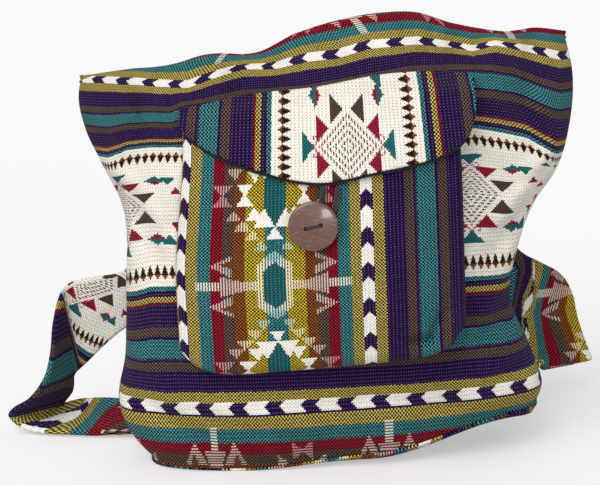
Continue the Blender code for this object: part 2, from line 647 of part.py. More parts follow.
def make_tape(name, side):
    """A woven tape with a row of moulded teeth along its inner edge."""
    count = int((ZIP_LENGTH - 2 * END_MARGIN - 2 * STOP_LENGTH - SLIDER_LENGTH) / TOOTH_PITCH)
    mesh = bpy.data.meshes.new(name)
    bm = bmesh.new()
    bmesh.ops.create_grid(bm, x_segments=2 * count + 2, y_segments=2, size=0.5)
    for v in bm.verts:
        i, j = round((v.co.x + 0.5) * (2 * count + 2)), round((v.co.y + 0.5) * 2)
        x = END_MARGIN + STOP_LENGTH + (i - 1) * TOOTH_PITCH / 2
        x = 0 if i == 0 else ZIP_LENGTH if i == 2 * count + 2 else x
        v.co = (x, POST_SLOT / 2 + (0, TOOTH.x, TAPE_WIDTH)[j], -GAP - TAPE_THICK)
    top = bmesh.ops.extrude_face_region(bm, geom=bm.faces[:])["geom"]
    bmesh.ops.translate(bm, verts=[g for g in top if isinstance(g, bmesh.types.BMVert)], vec=(0, 0, TAPE_THICK))
    teeth = []
    for face in [g for g in top if isinstance(g, bmesh.types.BMFace)]:
        middle = face.calc_center_median()
        number = (middle.x - END_MARGIN - STOP_LENGTH) / TOOTH_PITCH
        if middle.y < POST_SLOT / 2 + TOOTH.x and 0 < number < count and number % 1 < 0.5:
            teeth.append(face)
    raised = bmesh.ops.extrude_discrete_faces(bm, faces=teeth)["faces"]
    bmesh.ops.translate(bm, verts=list({v for f in raised for v in f.verts}), vec=(0, 0, TOOTH.z))
    if side < 0:
        bmesh.ops.scale(bm, vec=(1, -1, 1), verts=bm.verts)
    bmesh.ops.recalc_face_normals(bm, faces=bm.faces)
    bm.to_mesh(mesh)
    bm.free()
    thing = bpy.data.objects.new(name, mesh)
    bag.objects.link(thing)
    return on_zip(thing)


def make_extrusion(name, outlines, half_depth):
    """Flat closed outlines in the curve's XY plane, given half a thickness each way."""
    curve = bpy.data.curves.new(name, "CURVE")
    curve.dimensions = "2D"
    curve.fill_mode = "BOTH"
    curve.extrude = half_depth
    for outline in outlines:
        spline = curve.splines.new("POLY")
        spline.points.add(len(outline) - 1)
        for point, place in zip(spline.points, outline):
            point.co = (*place, 0, 1)
        spline.use_cyclic_u = True
    thing = bpy.data.objects.new(name, curve)
    bag.objects.link(thing)
    return thing


def box_at(name, size, centre):
    """A box as a mesh object in the zip's own frame."""
    bpy.ops.mesh.primitive_cube_add(size=1)
    thing = bpy.context.object
    thing.name = name
    for v in thing.data.vertices:
        v.co = Vector(v.co[k] * size[k] + centre[k] for k in range(3))
    for collection in list(thing.users_collection):
        collection.objects.unlink(thing)
    bag.objects.link(thing)
    return thing


def make_slider():
    """Two plates joined by a post that runs between the teeth, with an arch on top for the pull."""
    plate_low = TOOTH.z + GAP
    top = plate_low + SLIDER_PLATE
    under = -GAP - TAPE_THICK - GAP
    size = (SLIDER_LENGTH, SLIDER_WIDTH, SLIDER_PLATE)
    slider = box_at("zip_slider", size, (0, 0, plate_low + SLIDER_PLATE / 2))
    leg, leg_middle = (ARCH_BAR, ARCH_DEPTH, ARCH_CLEAR + 2 * ARCH_BAR), top + ARCH_CLEAR / 2
    more = [
        (size, (0, 0, under - SLIDER_PLATE / 2)),
        ((SLIDER_LENGTH * 0.6, SLIDER_POST, top - under), (0, 0, (top + under - SLIDER_PLATE) / 2)),
        (leg, (-ARCH_HALF, 0, leg_middle)),
        (leg, (ARCH_HALF, 0, leg_middle)),
        ((2 * ARCH_HALF + ARCH_BAR, ARCH_DEPTH, ARCH_BAR), (0, 0, top + ARCH_CLEAR + ARCH_BAR / 2)),
    ]
    for number, (part_size, centre) in enumerate(more):
        part = box_at(f"slider_part_{number}", part_size, centre)
        part.hide_render = True
        part.display_type = "WIRE"
        part.parent = slider
        join = slider.modifiers.new("join", "BOOLEAN")
        join.operation = "UNION"
        join.object = part
    return on_zip(slider, SLIDER_AT), top


def make_pull(slider_top):
    """A flat tab with an eye whose end bar passes under the slider's arch."""
    bar, half, corner = PULL_THICK / 2, PULL_WIDTH / 2, 1 * MM
    shoulder = -PULL_LENGTH + 2 * corner
    outer = [(bar, corner - half), (bar, half - corner), (bar - corner, half), (shoulder, half * 0.8),
             (-PULL_LENGTH, half * 0.4), (-PULL_LENGTH, -half * 0.4), (shoulder, -half * 0.8), (bar - corner, -half)]
    hole = [(-bar, -EYE_HALF), (-bar, EYE_HALF), (-EYE_LENGTH, EYE_HALF), (-EYE_LENGTH, -EYE_HALF)]
    pull = make_extrusion("zip_pull", [outer, hole], PULL_THICK / 2)
    run = (ZIP_RIGHT - ZIP_LEFT).normalized()
    up = Vector((-run.z, 0, run.x))
    on_zip(pull, SLIDER_AT)
    pull.location += up * (slider_top + PULL_THICK / 2 + GAP)
    return pull


def make_stop(name, from_left):
    """A metal staple across both rows of teeth."""
    size = (STOP_LENGTH, POST_SLOT + 2 * TOOTH.x, TOOTH.z)
    return on_zip(box_at(name, size, (0, 0, TOOTH.z / 2)), from_left)


clear_scene()
bag = bpy.data.collections.new("hand_woven_backpack")
bpy.context.scene.collection.children.link(bag)

front = make_panel("front_panel", FRONT_PROFILE, -1, FRONT_FOLDS, 30, 20)
finish(front, STRIPES[0][1], stripes=(2, CREAM_HEIGHT))
back = make_panel("back_panel", BACK_PROFILE, 1, BACK_FOLDS, 24, 14)
finish(back, STRIPES[0][1], stripes=(2, CREAM_HEIGHT))
base = make_base()
finish(base, STRIPES[0][1], stripes=(0, 0.0))
pocket = make_pocket()
finish(pocket, STRIPES[-1][1], stripes=(0, GOLD_ACROSS + sum(width for width, _ in STRIPES) * MM))
flap = make_flap("pocket_flap", 22, 12, CLOTH)
finish(flap, STRIPES[0][1], stripes=(0, FLAP_CREAM_ACROSS))
lining = make_flap("flap_lining", 22, 12, LINING, LINING_STARTS, LINING_SHOWS, CLOTH + 5 * GAP, LINING_INSET)
finish(lining, CHARCOAL)
finish(make_button(), SHELL_BROWN, roughness=0.35)
finish(make_thread(), CHARCOAL, roughness=0.7)
finish(make_loop(), CHARCOAL)
finish(make_strap("strap_left", -1, LEFT_SEWN, LEFT_ROUTE), STRIPES[5][1], stripes=(2, CREAM_HEIGHT))
finish(make_strap("strap_right", 1, RIGHT_SEWN, RIGHT_ROUTE), STRIPES[5][1], stripes=(2, CREAM_HEIGHT))
for tape_name, tape_side in (("zip_tape_front", -1), ("zip_tape_back", 1)):
    finish(make_tape(tape_name, tape_side), CHARCOAL, roughness=0.8)
zip_slider, slider_top = make_slider()
finish(zip_slider, BRASS, roughness=0.35, metallic=1.0)
finish(make_pull(slider_top), BRASS, roughness=0.35, metallic=1.0)
finish(make_stop("zip_stop_left", END_MARGIN + STOP_LENGTH / 2 - GAP), BRASS, roughness=0.35, metallic=1.0)
finish(make_stop("zip_stop_right", ZIP_LENGTH - END_MARGIN - STOP_LENGTH / 2), BRASS, roughness=0.35, metallic=1.0)
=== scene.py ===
# %% [markdown]
# # A hand-woven cloth backpack
#
# The bag stands stuffed on a pale floor with its patch pocket to the camera. It is cut from one striped
# hand-woven cloth, so most of this lesson is that cloth: how its stripes, its small woven figures and its
# threads are drawn with nodes, and how each piece carries a map that says where on the cloth it was cut.
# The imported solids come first, because every piece takes its place from them.

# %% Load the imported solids
import json
import math

import bmesh
import bpy
import numpy as np
from mathutils import Matrix, Vector, noise

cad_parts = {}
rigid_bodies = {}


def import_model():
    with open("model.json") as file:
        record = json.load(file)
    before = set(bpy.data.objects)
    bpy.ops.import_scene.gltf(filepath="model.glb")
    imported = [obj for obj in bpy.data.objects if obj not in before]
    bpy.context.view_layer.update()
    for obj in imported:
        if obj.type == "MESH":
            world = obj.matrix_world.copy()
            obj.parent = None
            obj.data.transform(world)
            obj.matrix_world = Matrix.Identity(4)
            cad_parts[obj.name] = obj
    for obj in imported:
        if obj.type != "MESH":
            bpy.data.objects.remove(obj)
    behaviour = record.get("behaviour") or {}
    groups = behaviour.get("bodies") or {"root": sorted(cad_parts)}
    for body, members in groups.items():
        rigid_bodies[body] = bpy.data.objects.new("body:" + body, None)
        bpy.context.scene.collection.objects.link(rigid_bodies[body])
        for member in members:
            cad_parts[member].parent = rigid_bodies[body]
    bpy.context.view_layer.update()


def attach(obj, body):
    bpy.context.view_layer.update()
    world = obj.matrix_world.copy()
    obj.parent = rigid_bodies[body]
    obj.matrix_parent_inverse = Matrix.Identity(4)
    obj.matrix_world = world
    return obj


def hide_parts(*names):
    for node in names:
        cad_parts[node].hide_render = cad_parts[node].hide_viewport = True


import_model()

MM = 0.001


# %% [markdown]
# The photograph was taken with a long lens, a little above the bag, and leans by a few degrees. The lens is
# shifted sideways only as far as the bag stands to the right of the picture's middle.

# %% Camera
LENS_MM, SENSOR_MM, DISTANCE = 100, 36, 1.3
ELEVATION, LEAN = math.radians(11), math.radians(2.5)
PICTURE_WIDTH, PICTURE_HEIGHT = 600, 485
AIM = Vector((0, 0, 0.165))
AIM_PIXEL = (328, 244)  # where the aim is in the photograph

lens = bpy.data.cameras.new("camera")
lens.lens, lens.sensor_width, lens.sensor_fit = LENS_MM, SENSOR_MM, "HORIZONTAL"
lens.shift_x = (PICTURE_WIDTH / 2 - AIM_PIXEL[0]) / PICTURE_WIDTH
lens.shift_y = (AIM_PIXEL[1] - PICTURE_HEIGHT / 2) / PICTURE_WIDTH
camera = bpy.data.objects.new("camera", lens)
bpy.context.scene.collection.objects.link(camera)
bpy.context.scene.camera = camera
away = Vector((0, -math.cos(ELEVATION), math.sin(ELEVATION)))
turned = away.to_track_quat("Z", "Y").to_matrix().to_4x4() @ Matrix.Rotation(-LEAN, 4, "Z")
camera.matrix_world = Matrix.Translation(AIM + away * DISTANCE) @ turned
bpy.context.scene.view_settings.view_transform = "Standard"


# %% [markdown]
# Materials are made with one small helper that adds a node, sets it and links it, and one that turns the
# hex colours of a paint chart into the linear values that a renderer works in.

# %% Helpers for materials
def linear(hex_colour):
    """An sRGB hex colour as linear red, green, blue and alpha."""
    parts = [int(hex_colour[i : i + 2], 16) / 255 for i in (1, 3, 5)]
    return [c / 12.92 if c <= 0.04045 else ((c + 0.055) / 1.055) ** 2.4 for c in parts] + [1.0]


def add(tree, kind, inputs=(), **settings):
    """Adds a node with its settings, and fills its inputs with values or with other nodes' outputs."""
    node = tree.nodes.new(kind)
    for key, value in settings.items():
        setattr(node, key, value)
    for key, value in dict(inputs).items():
        if isinstance(value, bpy.types.NodeSocket):
            tree.links.new(value, node.inputs[key])
        else:
            node.inputs[key].default_value = value
    return node


def new_material(name, **constants):
    """A material with a Principled shader, and the values that are the same all over it."""
    material = bpy.data.materials.new(name)
    material.use_nodes = True
    tree = material.node_tree
    shader = tree.nodes["Principled BSDF"]
    for key, value in constants.items():
        shader.inputs[key.replace("_", " ")].default_value = value
    return material, tree, shader


# %% [markdown]
# The floor is a white sheet of paper that reaches past the horizon, so no edge of it shows. A broad sun from
# the front left and a weaker one from the right stand for two large soft boxes: they light the paper evenly
# however far it goes, and the weaker one gives the button its highlight.

# %% Floor and light
floor_mesh = bpy.data.meshes.new("floor")
bm = bmesh.new()
bmesh.ops.create_grid(bm, x_segments=1, y_segments=1, size=30)
bm.to_mesh(floor_mesh)
bm.free()
floor = bpy.data.objects.new("floor", floor_mesh)
bpy.context.scene.collection.objects.link(floor)


def seen_directly(tree):
    """1 for rays that come from the camera, a reflection or a transmission, and 0 for all others."""
    rays = add(tree, "ShaderNodeLightPath").outputs
    seen = rays["Is Camera Ray"]
    for other in ("Is Glossy Ray", "Is Transmission Ray"):
        seen = add(tree, "ShaderNodeMath", {0: seen, 1: rays[other]}, operation="MAXIMUM").outputs[0]
    return seen


PAPER, PAPER_GLOW = "#cccbcb", 0.72
paper, paper_tree, paper_shader = new_material("white_paper_sweep", Roughness=1.0, Specular_IOR_Level=0.0)
paper_shader.inputs["Base Color"].default_value = linear(PAPER)
paper_shader.inputs["Emission Color"].default_value = linear(PAPER)
glow = add(paper_tree, "ShaderNodeMath", {0: seen_directly(paper_tree), 1: PAPER_GLOW}, operation="MULTIPLY")
paper_tree.links.new(glow.outputs[0], paper_shader.inputs["Emission Strength"])
floor_mesh.materials.append(paper)

SKY_LIGHT, SKY_SEEN = 0.5, 0.95
world = bpy.data.worlds.new("studio")
bpy.context.scene.world = world
world.use_nodes = True
sky = world.node_tree.nodes["Background"]
sky_tree = world.node_tree
strength = add(sky_tree, "ShaderNodeMapRange", {0: seen_directly(sky_tree), 3: SKY_LIGHT, 4: SKY_SEEN})
sky_tree.links.new(strength.outputs[0], sky.inputs["Strength"])
sky.inputs["Color"].default_value = linear("#fdfcfc")


def soft_sun(name, direction, strength, spread):
    """A sun as broad as a soft box, which shines from a direction towards the bag."""
    light = bpy.data.lights.new(name, "SUN")
    light.energy, light.angle = strength, math.radians(spread)
    sun = bpy.data.objects.new(name, light)
    sun.rotation_euler = Vector(direction).to_track_quat("Z", "Y").to_euler()
    bpy.context.scene.collection.objects.link(sun)


soft_sun("key_soft_box", (-0.55, -1.0, 0.95), 1.75, 50)
soft_sun("fill_soft_box", (0.3, -0.95, 0.07), 0.65, 15)


# %% [markdown]
# ## The shape of the stuffed bag
#
# The front and the back are lofted shells. A profile says how deep the bag is at each height, the side
# outlines say how wide, and the ridge along the top is drawn as a curve. These are the same numbers that
# made the solids, so a piece of cloth drawn here lies where its solid is.

# %% Outlines, in millimetres
CLOTH = 2.2 * MM
GAP = 0.3 * MM
SEAM_STRIP = 3 * MM
LEFT_SIDE = [
    (0, 142), (20, 158), (48, 169), (87, 162), (140, 158), (205, 158), (236, 171), (264, 182), (292, 185),
    (306, 181),
]
RIGHT_SIDE = [
    (0, 130), (20, 147), (48, 163), (75, 156), (118, 140), (158, 146), (190, 160), (215, 177), (252, 189),
    (292, 192), (326, 185),
]
RIDGE = [
    (-190, 304), (-150, 308), (-112, 311), (-88, 317), (-45, 318), (-18, 330), (10, 338), (45, 343),
    (75, 342), (100, 333), (120, 328), (140, 325), (165, 326), (190, 322),
]
FRONT_PROFILE = [
    (54, 0.0, 0), (64, 0.05, 0), (71, 0.14, 0), (76, 0.3, 0), (77, 0.47, 0), (74, 0.62, 0), (62, 0.77, 0),
    (44, 0.88, 0), (28, 0.96, 0), (17, 1.0, 0), (9, 0.995, 0.22), (7.5, 1.0, 0.6),
]
BACK_PROFILE = [
    (50, 0.0, 0), (58, 0.06, 0), (62, 0.2, 0), (60, 0.45, 0), (56, 0.65, 0), (46, 0.8, 0), (33, 0.91, 0),
    (17, 0.985, 0), (9, 0.98, 0.25), (7.5, 0.985, 0.6),
]
BASE_SQUARENESS, TOP_SQUARENESS = 3.0, 2.1
SEAM_HEIGHT = 6 * MM
LIFT, LIFT_FROM, LIFT_RUN = 24 * MM, 25 * MM, 115 * MM
ROLL, ROLL_FROM, ROLL_RUN = 8 * MM, -70 * MM, 100 * MM
BASE_FLAT, BASE_REST = 0.9, 0.62
ZIP_LEFT, ZIP_RIGHT = Vector((-160 * MM, 0, 293 * MM)), Vector((160 * MM, 0, 310 * MM))
ZIP_DRAW_IN = 17 * MM

FRONT_FOLDS = [
    ((-172, 300), (-150, 250), 5, 9), ((-140, 306), (-128, 262), -5, 9),
    ((-100, 312), (-88, 280), 4, 8), ((-70, 316), (-62, 290), -5, 8), ((-20, 330), (-28, 300), -4, 8),
    ((110, 330), (98, 305), -5, 9), ((140, 326), (132, 285), 4, 8), ((165, 322), (150, 262), -5, 9),
    ((-160, 236), (-125, 205), 5, 9), ((-150, 215), (-128, 170), -4, 9), ((175, 240), (130, 190), 6, 9),
    ((160, 205), (125, 165), -5, 8), ((150, 160), (115, 120), 5, 9), ((150, 130), (118, 100), -4, 8),
    ((-155, 110), (-122, 60), 4, 10), ((-150, 60), (-100, 30), -4, 9), ((150, 95), (112, 70), 4, 9),
    ((-90, 60), (-20, 38), 3, 10), ((20, 60), (90, 45), -3, 9),
]
BACK_FOLDS = [
    ((-150, 300), (-120, 240), 5, 10), ((-60, 312), (-50, 270), -4, 9), ((60, 335), (52, 285), 5, 9),
    ((130, 322), (110, 260), -5, 9), ((-150, 200), (-90, 170), -5, 11), ((150, 195), (90, 160), 5, 11),
    ((-140, 90), (-80, 120), 4, 11), ((140, 80), (70, 110), -4, 11),
]
# Finer creases of the worn cloth, which the solids leave out
FRONT_CREASES = [
    ((-182, 268), (-160, 258), -2.0, 4), ((-176, 280), (-158, 262), 1.6, 4),
    ((-150, 296), (-140, 276), 1.5, 4), ((-122, 306), (-112, 284), -1.8, 4),
    ((-82, 313), (-74, 296), 1.6, 4), ((-45, 316), (-40, 298), 1.5, 4), ((20, 338), (16, 312), -1.5, 4),
    ((58, 341), (54, 316), 1.5, 5), ((88, 336), (80, 312), -1.8, 4), ((122, 326), (116, 300), -1.8, 4),
    ((152, 322), (148, 292), 1.6, 4), ((178, 300), (160, 284), -1.8, 4),
    ((172, 226), (140, 212), -2.2, 4), ((166, 214), (136, 188), 2.0, 4),
    ((150, 188), (124, 178), -2.0, 4), ((148, 172), (122, 150), 1.8, 4),
    ((144, 146), (122, 138), -1.8, 4), ((-156, 222), (-132, 214), -1.8, 4),
    ((-154, 190), (-128, 184), 1.6, 4), ((-156, 160), (-130, 150), -1.4, 4),
    ((-158, 88), (-130, 72), -1.6, 4), ((152, 80), (126, 66), -1.6, 4), ((146, 112), (118, 92), 1.8, 4),
]


# %% [markdown]
# Four small functions draw everything: a smooth curve through points of a table, a smooth path through
# points in space, an ease from 0 to 1, and the sum of the folds at a place. A fold is a soft ridge or a
# valley along a line.

# %% Curves and folds
def through(points):
    """A smooth curve through (x, y) points in mm."""
    xs, ys = (np.array(c, float) for c in zip(*points))
    slopes = np.gradient(ys, xs)

    def at(x):
        x = float(np.clip(x / MM, xs[0], xs[-1]))
        k = min(int(np.searchsorted(xs, x, "right")) - 1, len(xs) - 2)
        width = xs[k + 1] - xs[k]
        t = (x - xs[k]) / width
        rise = (1 + 2 * t) * (1 - t) ** 2 * ys[k] + t * t * (3 - 2 * t) * ys[k + 1]
        return MM * (rise + t * (1 - t) * width * ((1 - t) * slopes[k] - t * slopes[k + 1]))

    return at


def clamp(x):
    return min(max(x, 0.0), 1.0)


def smooth(x):
    x = clamp(x)
    return x * x * (3 - 2 * x)


def along(points, share):
    """A point on the smooth curve through a list of points, at a share of the way by index."""
    place = clamp(share) * (len(points) - 1)
    k = min(int(place), len(points) - 2)
    t = place - k
    p = [np.array(points[min(max(i, 0), len(points) - 1)], float) for i in (k - 1, k, k + 1, k + 2)]
    return 0.5 * (2 * p[1] + t * (p[2] - p[0]) + t * t * (2 * p[0] - 5 * p[1] + 4 * p[2] - p[3])
                  + t**3 * (3 * p[1] - p[0] - 3 * p[2] + p[3]))


def folds(lines, x, z):
    """The sum of the cloth's folds at a place on a panel."""
    total = 0.0
    for (x0, z0), (x1, z1), height, width in lines:
        dx, dz = x1 - x0, z1 - z0
        share = clamp(((x / MM - x0) * dx + (z / MM - z0) * dz) / (dx * dx + dz * dz))
        off = (x / MM - x0 - share * dx) ** 2 + (z / MM - z0 - share * dz) ** 2
        total += height * MM * math.exp(-off / width**2)
    return total


left_side, right_side, ridge = through(LEFT_SIDE), through(RIGHT_SIDE), through(RIDGE)


# %% The loft
def half_width(x, z):
    return left_side(z) if x < 0 else right_side(z)


def squareness(z):
    return BASE_SQUARENESS + (TOP_SQUARENESS - BASE_SQUARENESS) * smooth(z / (300 * MM))


def zip_height(x):
    share = (x - ZIP_LEFT.x) / (ZIP_RIGHT.x - ZIP_LEFT.x)
    return ZIP_LEFT.z + share * (ZIP_RIGHT.z - ZIP_LEFT.z)


def lift(x):
    """How far the bag stands off the floor towards its right corner."""
    return LIFT * smooth((x - LIFT_FROM) / LIFT_RUN)


def roll(x):
    """How much further the rim of the base rolls up there."""
    return ROLL * smooth((x - ROLL_FROM) / ROLL_RUN)


def seam_height(x):
    return SEAM_HEIGHT + lift(x) + roll(x)


def panel_point(profile, side, share, turn):
    """A point on the front (side -1) or back (side 1) without folds. share runs from the base seam to
    the zip, and turn from -1 at the left side seam to 1 at the right one."""
    depth, height_share, drop = along(profile, share)
    angle = turn * math.pi / 2
    end = math.copysign(1, turn)
    end_ridge = ridge(end * RIDGE[-1][0] * MM)
    end_low = seam_height(end * LEFT_SIDE[2][1] * MM)
    end_z = end_low + height_share * (end_ridge - end_low)
    power = 2 / squareness(end_z)
    wide = half_width(turn, end_z) - ZIP_DRAW_IN * smooth(drop)
    x = end * wide * abs(math.sin(angle)) ** power
    low = seam_height(x)
    z = low + height_share * (ridge(x) - low)
    z += drop * (zip_height(x) - z)
    y = GAP / 2 + SEAM_STRIP + (depth * MM - SEAM_STRIP) * abs(math.cos(angle)) ** power
    if abs(turn) == 1:
        y = GAP / 2 + SEAM_STRIP
    return Vector((x, side * y, z))


def profile_table(profile, ridge_point):
    """A profile's height shares and depths from the base seam up to the ridge, closely spaced."""
    steps = [along(profile, ridge_point / (len(profile) - 1) * k / 80) for k in range(81)]
    return [step[1] for step in steps], [step[0] for step in steps]


FRONT_TABLE, BACK_TABLE = profile_table(FRONT_PROFILE, 9), profile_table(BACK_PROFILE, 7)


def panel_depth(table, lines, x, z):
    """How far a panel's outer face lies from the plane of the side seams, below the ridge."""
    end = math.copysign(1, x)
    low = seam_height(x)
    height_share = clamp((z - low) / (ridge(x) - low))
    depth = np.interp(height_share, *table) * MM
    end_low = seam_height(end * LEFT_SIDE[2][1] * MM)
    end_z = end_low + height_share * (ridge(end * RIDGE[-1][0] * MM) - end_low)
    power = squareness(end_z)
    across = clamp(abs(x) / half_width(x, end_z))
    y = GAP / 2 + SEAM_STRIP + (depth - SEAM_STRIP) * (1 - across**power) ** (1 / power)
    return y + folds(lines, x, z)


def front_depth(x, z):
    return panel_depth(FRONT_TABLE, FRONT_FOLDS, x, z)


def back_depth(x, z):
    return panel_depth(BACK_TABLE, BACK_FOLDS, x, z)


# %% [markdown]
# ## The cloth's own map
#
# Every piece is cut from the same cloth, so every piece gets a UV map in metres on that cloth: u runs along
# the stripes and v across them, with v = 0 in the middle of the cream. A helper makes a grid of faces with
# bmesh, moves each vertex to its place on the bag, and writes the map for it at the same time.

# %% A sheet of cloth with its map
def cloth_sheet(name, columns, rows, place, on_cloth, flip=False, weld=False):
    """A grid of faces. place(column, row) gives a vertex, and on_cloth(column, row, vertex) its map."""
    mesh = bpy.data.meshes.new(name)
    bm = bmesh.new()
    bmesh.ops.create_grid(bm, x_segments=columns, y_segments=rows, size=0.5, calc_uvs=True)
    step = {v: (round((v.co.x + 0.5) * columns), round((v.co.y + 0.5) * rows)) for v in bm.verts}
    places = {ij: place(*ij) for ij in step.values()}
    map_layer = bm.loops.layers.uv.verify()
    for face in bm.faces:
        for loop in face.loops:
            loop[map_layer].uv = on_cloth(*step[loop.vert], places[step[loop.vert]])
    for v, ij in step.items():
        v.co = places[ij]
    if weld:
        bmesh.ops.remove_doubles(bm, verts=bm.verts, dist=0.01 * MM)
    if flip:
        bmesh.ops.reverse_faces(bm, faces=bm.faces)
    bm.to_mesh(mesh)
    bm.free()
    mesh.uv_layers[0].name = "cloth"
    mesh.shade_smooth()
    piece = bpy.data.objects.new(name, mesh)
    bpy.context.scene.collection.objects.link(piece)
    return piece


def outwards(piece):
    """Turns the faces of a closed piece outwards."""
    bm = bmesh.new()
    bm.from_mesh(piece.data)
    bmesh.ops.recalc_face_normals(bm, faces=bm.faces)
    bm.to_mesh(piece.data)
    bm.free()


def thicken(piece, thickness, offset=-1.0):
    """Gives a sheet its thickness, inwards unless offset says otherwise."""
    wall = piece.modifiers.new("thickness", "SOLIDIFY")
    wall.thickness, wall.offset = thickness, offset
    return piece


def dress(piece, material, slot, *nodes, body="bag"):
    """Gives a piece its material and body, and hides the solids that it stands for."""
    piece.data.materials.append(material)
    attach(piece, body)
    if nodes:
        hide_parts(*nodes)
    print(piece.name, len(piece.data.vertices), "vertices")
    return piece


# %% [markdown]
# ## The striped cloth
#
# The cloth is cotton, warped in stripes and brocaded with small figures. Its half repeat is 224.5 mm, from
# the middle of the cream to the middle of the gold, and it is mirrored at both, so a ping-pong of v and one
# constant colour ramp draw every stripe. Each stripe has a light thread and a dark one, and a checker of the
# two is what the eye sees close up. The real threads are 0.7 mm apart, too fine to show here, so they are
# drawn at about twice that.

# %% Stripes, as width in mm with the light thread, the dark thread and the stray specks
PURPLE, TEAL = ("#360f5e", "#0a0318", "#9583a8"), ("#459ba0", "#050e10", "#8fb9ba")
GOLD, CRIMSON = ("#dcc566", "#0d0a05", "#dcc566"), ("#b3102f", "#1c0308", "#b8355a")
TAUPE, CREAM, WHITE = ("#745b50", "#110a10", "#8d7668"), ("#fffdf6", "#f6eedd", "#5b4a3a"), "#fdf9f0"
UMBER, COPPER = ("#75604f", "#0f0a0c", "#75604f"), ("#ab602a", "#120906", "#ab602a")
YELLOW = ("#e9cb39", "#120d06", "#e9cb39")
STRIPES = [
    (57, CREAM), (3, TEAL), (4.5, PURPLE), (4, GOLD), (2, CRIMSON), (18, PURPLE), (6.5, TAUPE), (2.5, PURPLE),
    (15, TEAL), (2.5, PURPLE), (7, TAUPE), (17, PURPLE), (8.5, GOLD), (10, PURPLE), (8.5, GOLD), (9.5, TEAL),
    (9, CRIMSON), (8, UMBER), (8.5, COPPER), (15.5, YELLOW), (8, TEAL),
]
HALF_REPEAT = sum(width for width, _ in STRIPES) * MM
FIGURE_PERIOD = 140 * MM  # of the woven figures along the stripes
ARROW_PERIOD = FIGURE_PERIOD / 5
THREAD, RAGGED = 1.35 * MM, 1.6 * MM

cloth, weave, cloth_shader = new_material(
    "hand_woven_cotton", Roughness=0.95, Sheen_Weight=0.03, Sheen_Roughness=0.6, Specular_IOR_Level=0.08)


# %% Cloth coordinates, stepped to the threads
place_on_cloth = add(weave, "ShaderNodeUVMap", uv_map="cloth")
parts = add(weave, "ShaderNodeSeparateXYZ", {0: place_on_cloth.outputs[0]})
ragged = add(weave, "ShaderNodeTexNoise",
             {"Vector": place_on_cloth.outputs[0], "Scale": 260.0, "Detail": 1.0})
shake = add(weave, "ShaderNodeMath", {0: ragged.outputs[0], 1: RAGGED, 2: -RAGGED / 2},
            operation="MULTIPLY_ADD")
v_loose = add(weave, "ShaderNodeMath", {0: parts.outputs[1], 1: shake.outputs[0]}, operation="ADD")
u_step = add(weave, "ShaderNodeMath", {0: parts.outputs[0], 1: THREAD}, operation="SNAP").outputs[0]
v_step = add(weave, "ShaderNodeMath", {0: parts.outputs[1], 1: THREAD}, operation="SNAP").outputs[0]
folded = add(weave, "ShaderNodeMath", {0: v_loose.outputs[0], 1: HALF_REPEAT}, operation="PINGPONG")
from_cream = add(weave, "ShaderNodeMath", {0: v_step, 1: HALF_REPEAT}, operation="PINGPONG").outputs[0]
from_gold = add(weave, "ShaderNodeMath", {0: HALF_REPEAT, 1: from_cream}, operation="SUBTRACT").outputs[0]
ramp_place = add(weave, "ShaderNodeMath", {0: folded.outputs[0], 1: HALF_REPEAT},
                 operation="DIVIDE").outputs[0]
u_cream = add(weave, "ShaderNodeMath", {0: u_step, 1: FIGURE_PERIOD / 2}, operation="PINGPONG").outputs[0]
u_gold = add(weave, "ShaderNodeMath", {0: FIGURE_PERIOD / 2, 1: u_cream}, operation="SUBTRACT").outputs[0]


# %% Light and dark thread of each stripe
def stripe_ramp(which):
    """The stripes as a colour ramp over half a repeat, of their light (0), dark (1) or stray (2) thread."""
    ramp = add(weave, "ShaderNodeValToRGB", {0: ramp_place})
    bands = ramp.color_ramp
    bands.interpolation = "CONSTANT"
    bands.elements.remove(bands.elements[-1])
    edge = 0.0
    for number, (width, threads) in enumerate(STRIPES):
        stop = bands.elements[0] if number == 0 else bands.elements.new(edge)
        stop.position, stop.color = edge, linear(threads[which])
        edge += width * MM / HALF_REPEAT
    return ramp.outputs[0]


light_thread, dark_thread, stray_thread = (stripe_ramp(which) for which in range(3))


# %% [markdown]
# ## Woven figures
#
# The figures are traditional ones: a chain of arrowheads, rows of little birds, a diamond of short dashes
# with triangles round it, and an oval with branching sides. Each is a triangle or a six-sided shape in cloth
# coordinates, so a table of them and a few Math nodes for each are enough. The coordinates were stepped to
# the threads above, which gives the figures the ragged edges that brocading has.

# %% Masks of triangles and six-sided shapes
def triangle(v, u, base, apex, middle, half):
    """1 inside a triangle whose base lies at v = base and whose point is at v = apex, in mm."""
    run = (base - apex) * MM
    share = add(weave, "ShaderNodeMath", {0: v, 1: 1 / run, 2: -apex * MM / run},
                operation="MULTIPLY_ADD").outputs[0]
    off = add(weave, "ShaderNodeMath", {0: u, 1: middle * MM}, operation="SUBTRACT").outputs[0]
    off = add(weave, "ShaderNodeMath", {0: off}, operation="ABSOLUTE").outputs[0]
    edge = add(weave, "ShaderNodeMath", {0: share, 1: half * MM}, operation="MULTIPLY").outputs[0]
    side = add(weave, "ShaderNodeMath", {0: edge, 1: off}, operation="GREATER_THAN").outputs[0]
    foot = add(weave, "ShaderNodeMath", {0: share, 1: 1.0}, operation="LESS_THAN").outputs[0]
    return add(weave, "ShaderNodeMath", {0: side, 1: foot}, operation="MULTIPLY").outputs[0]


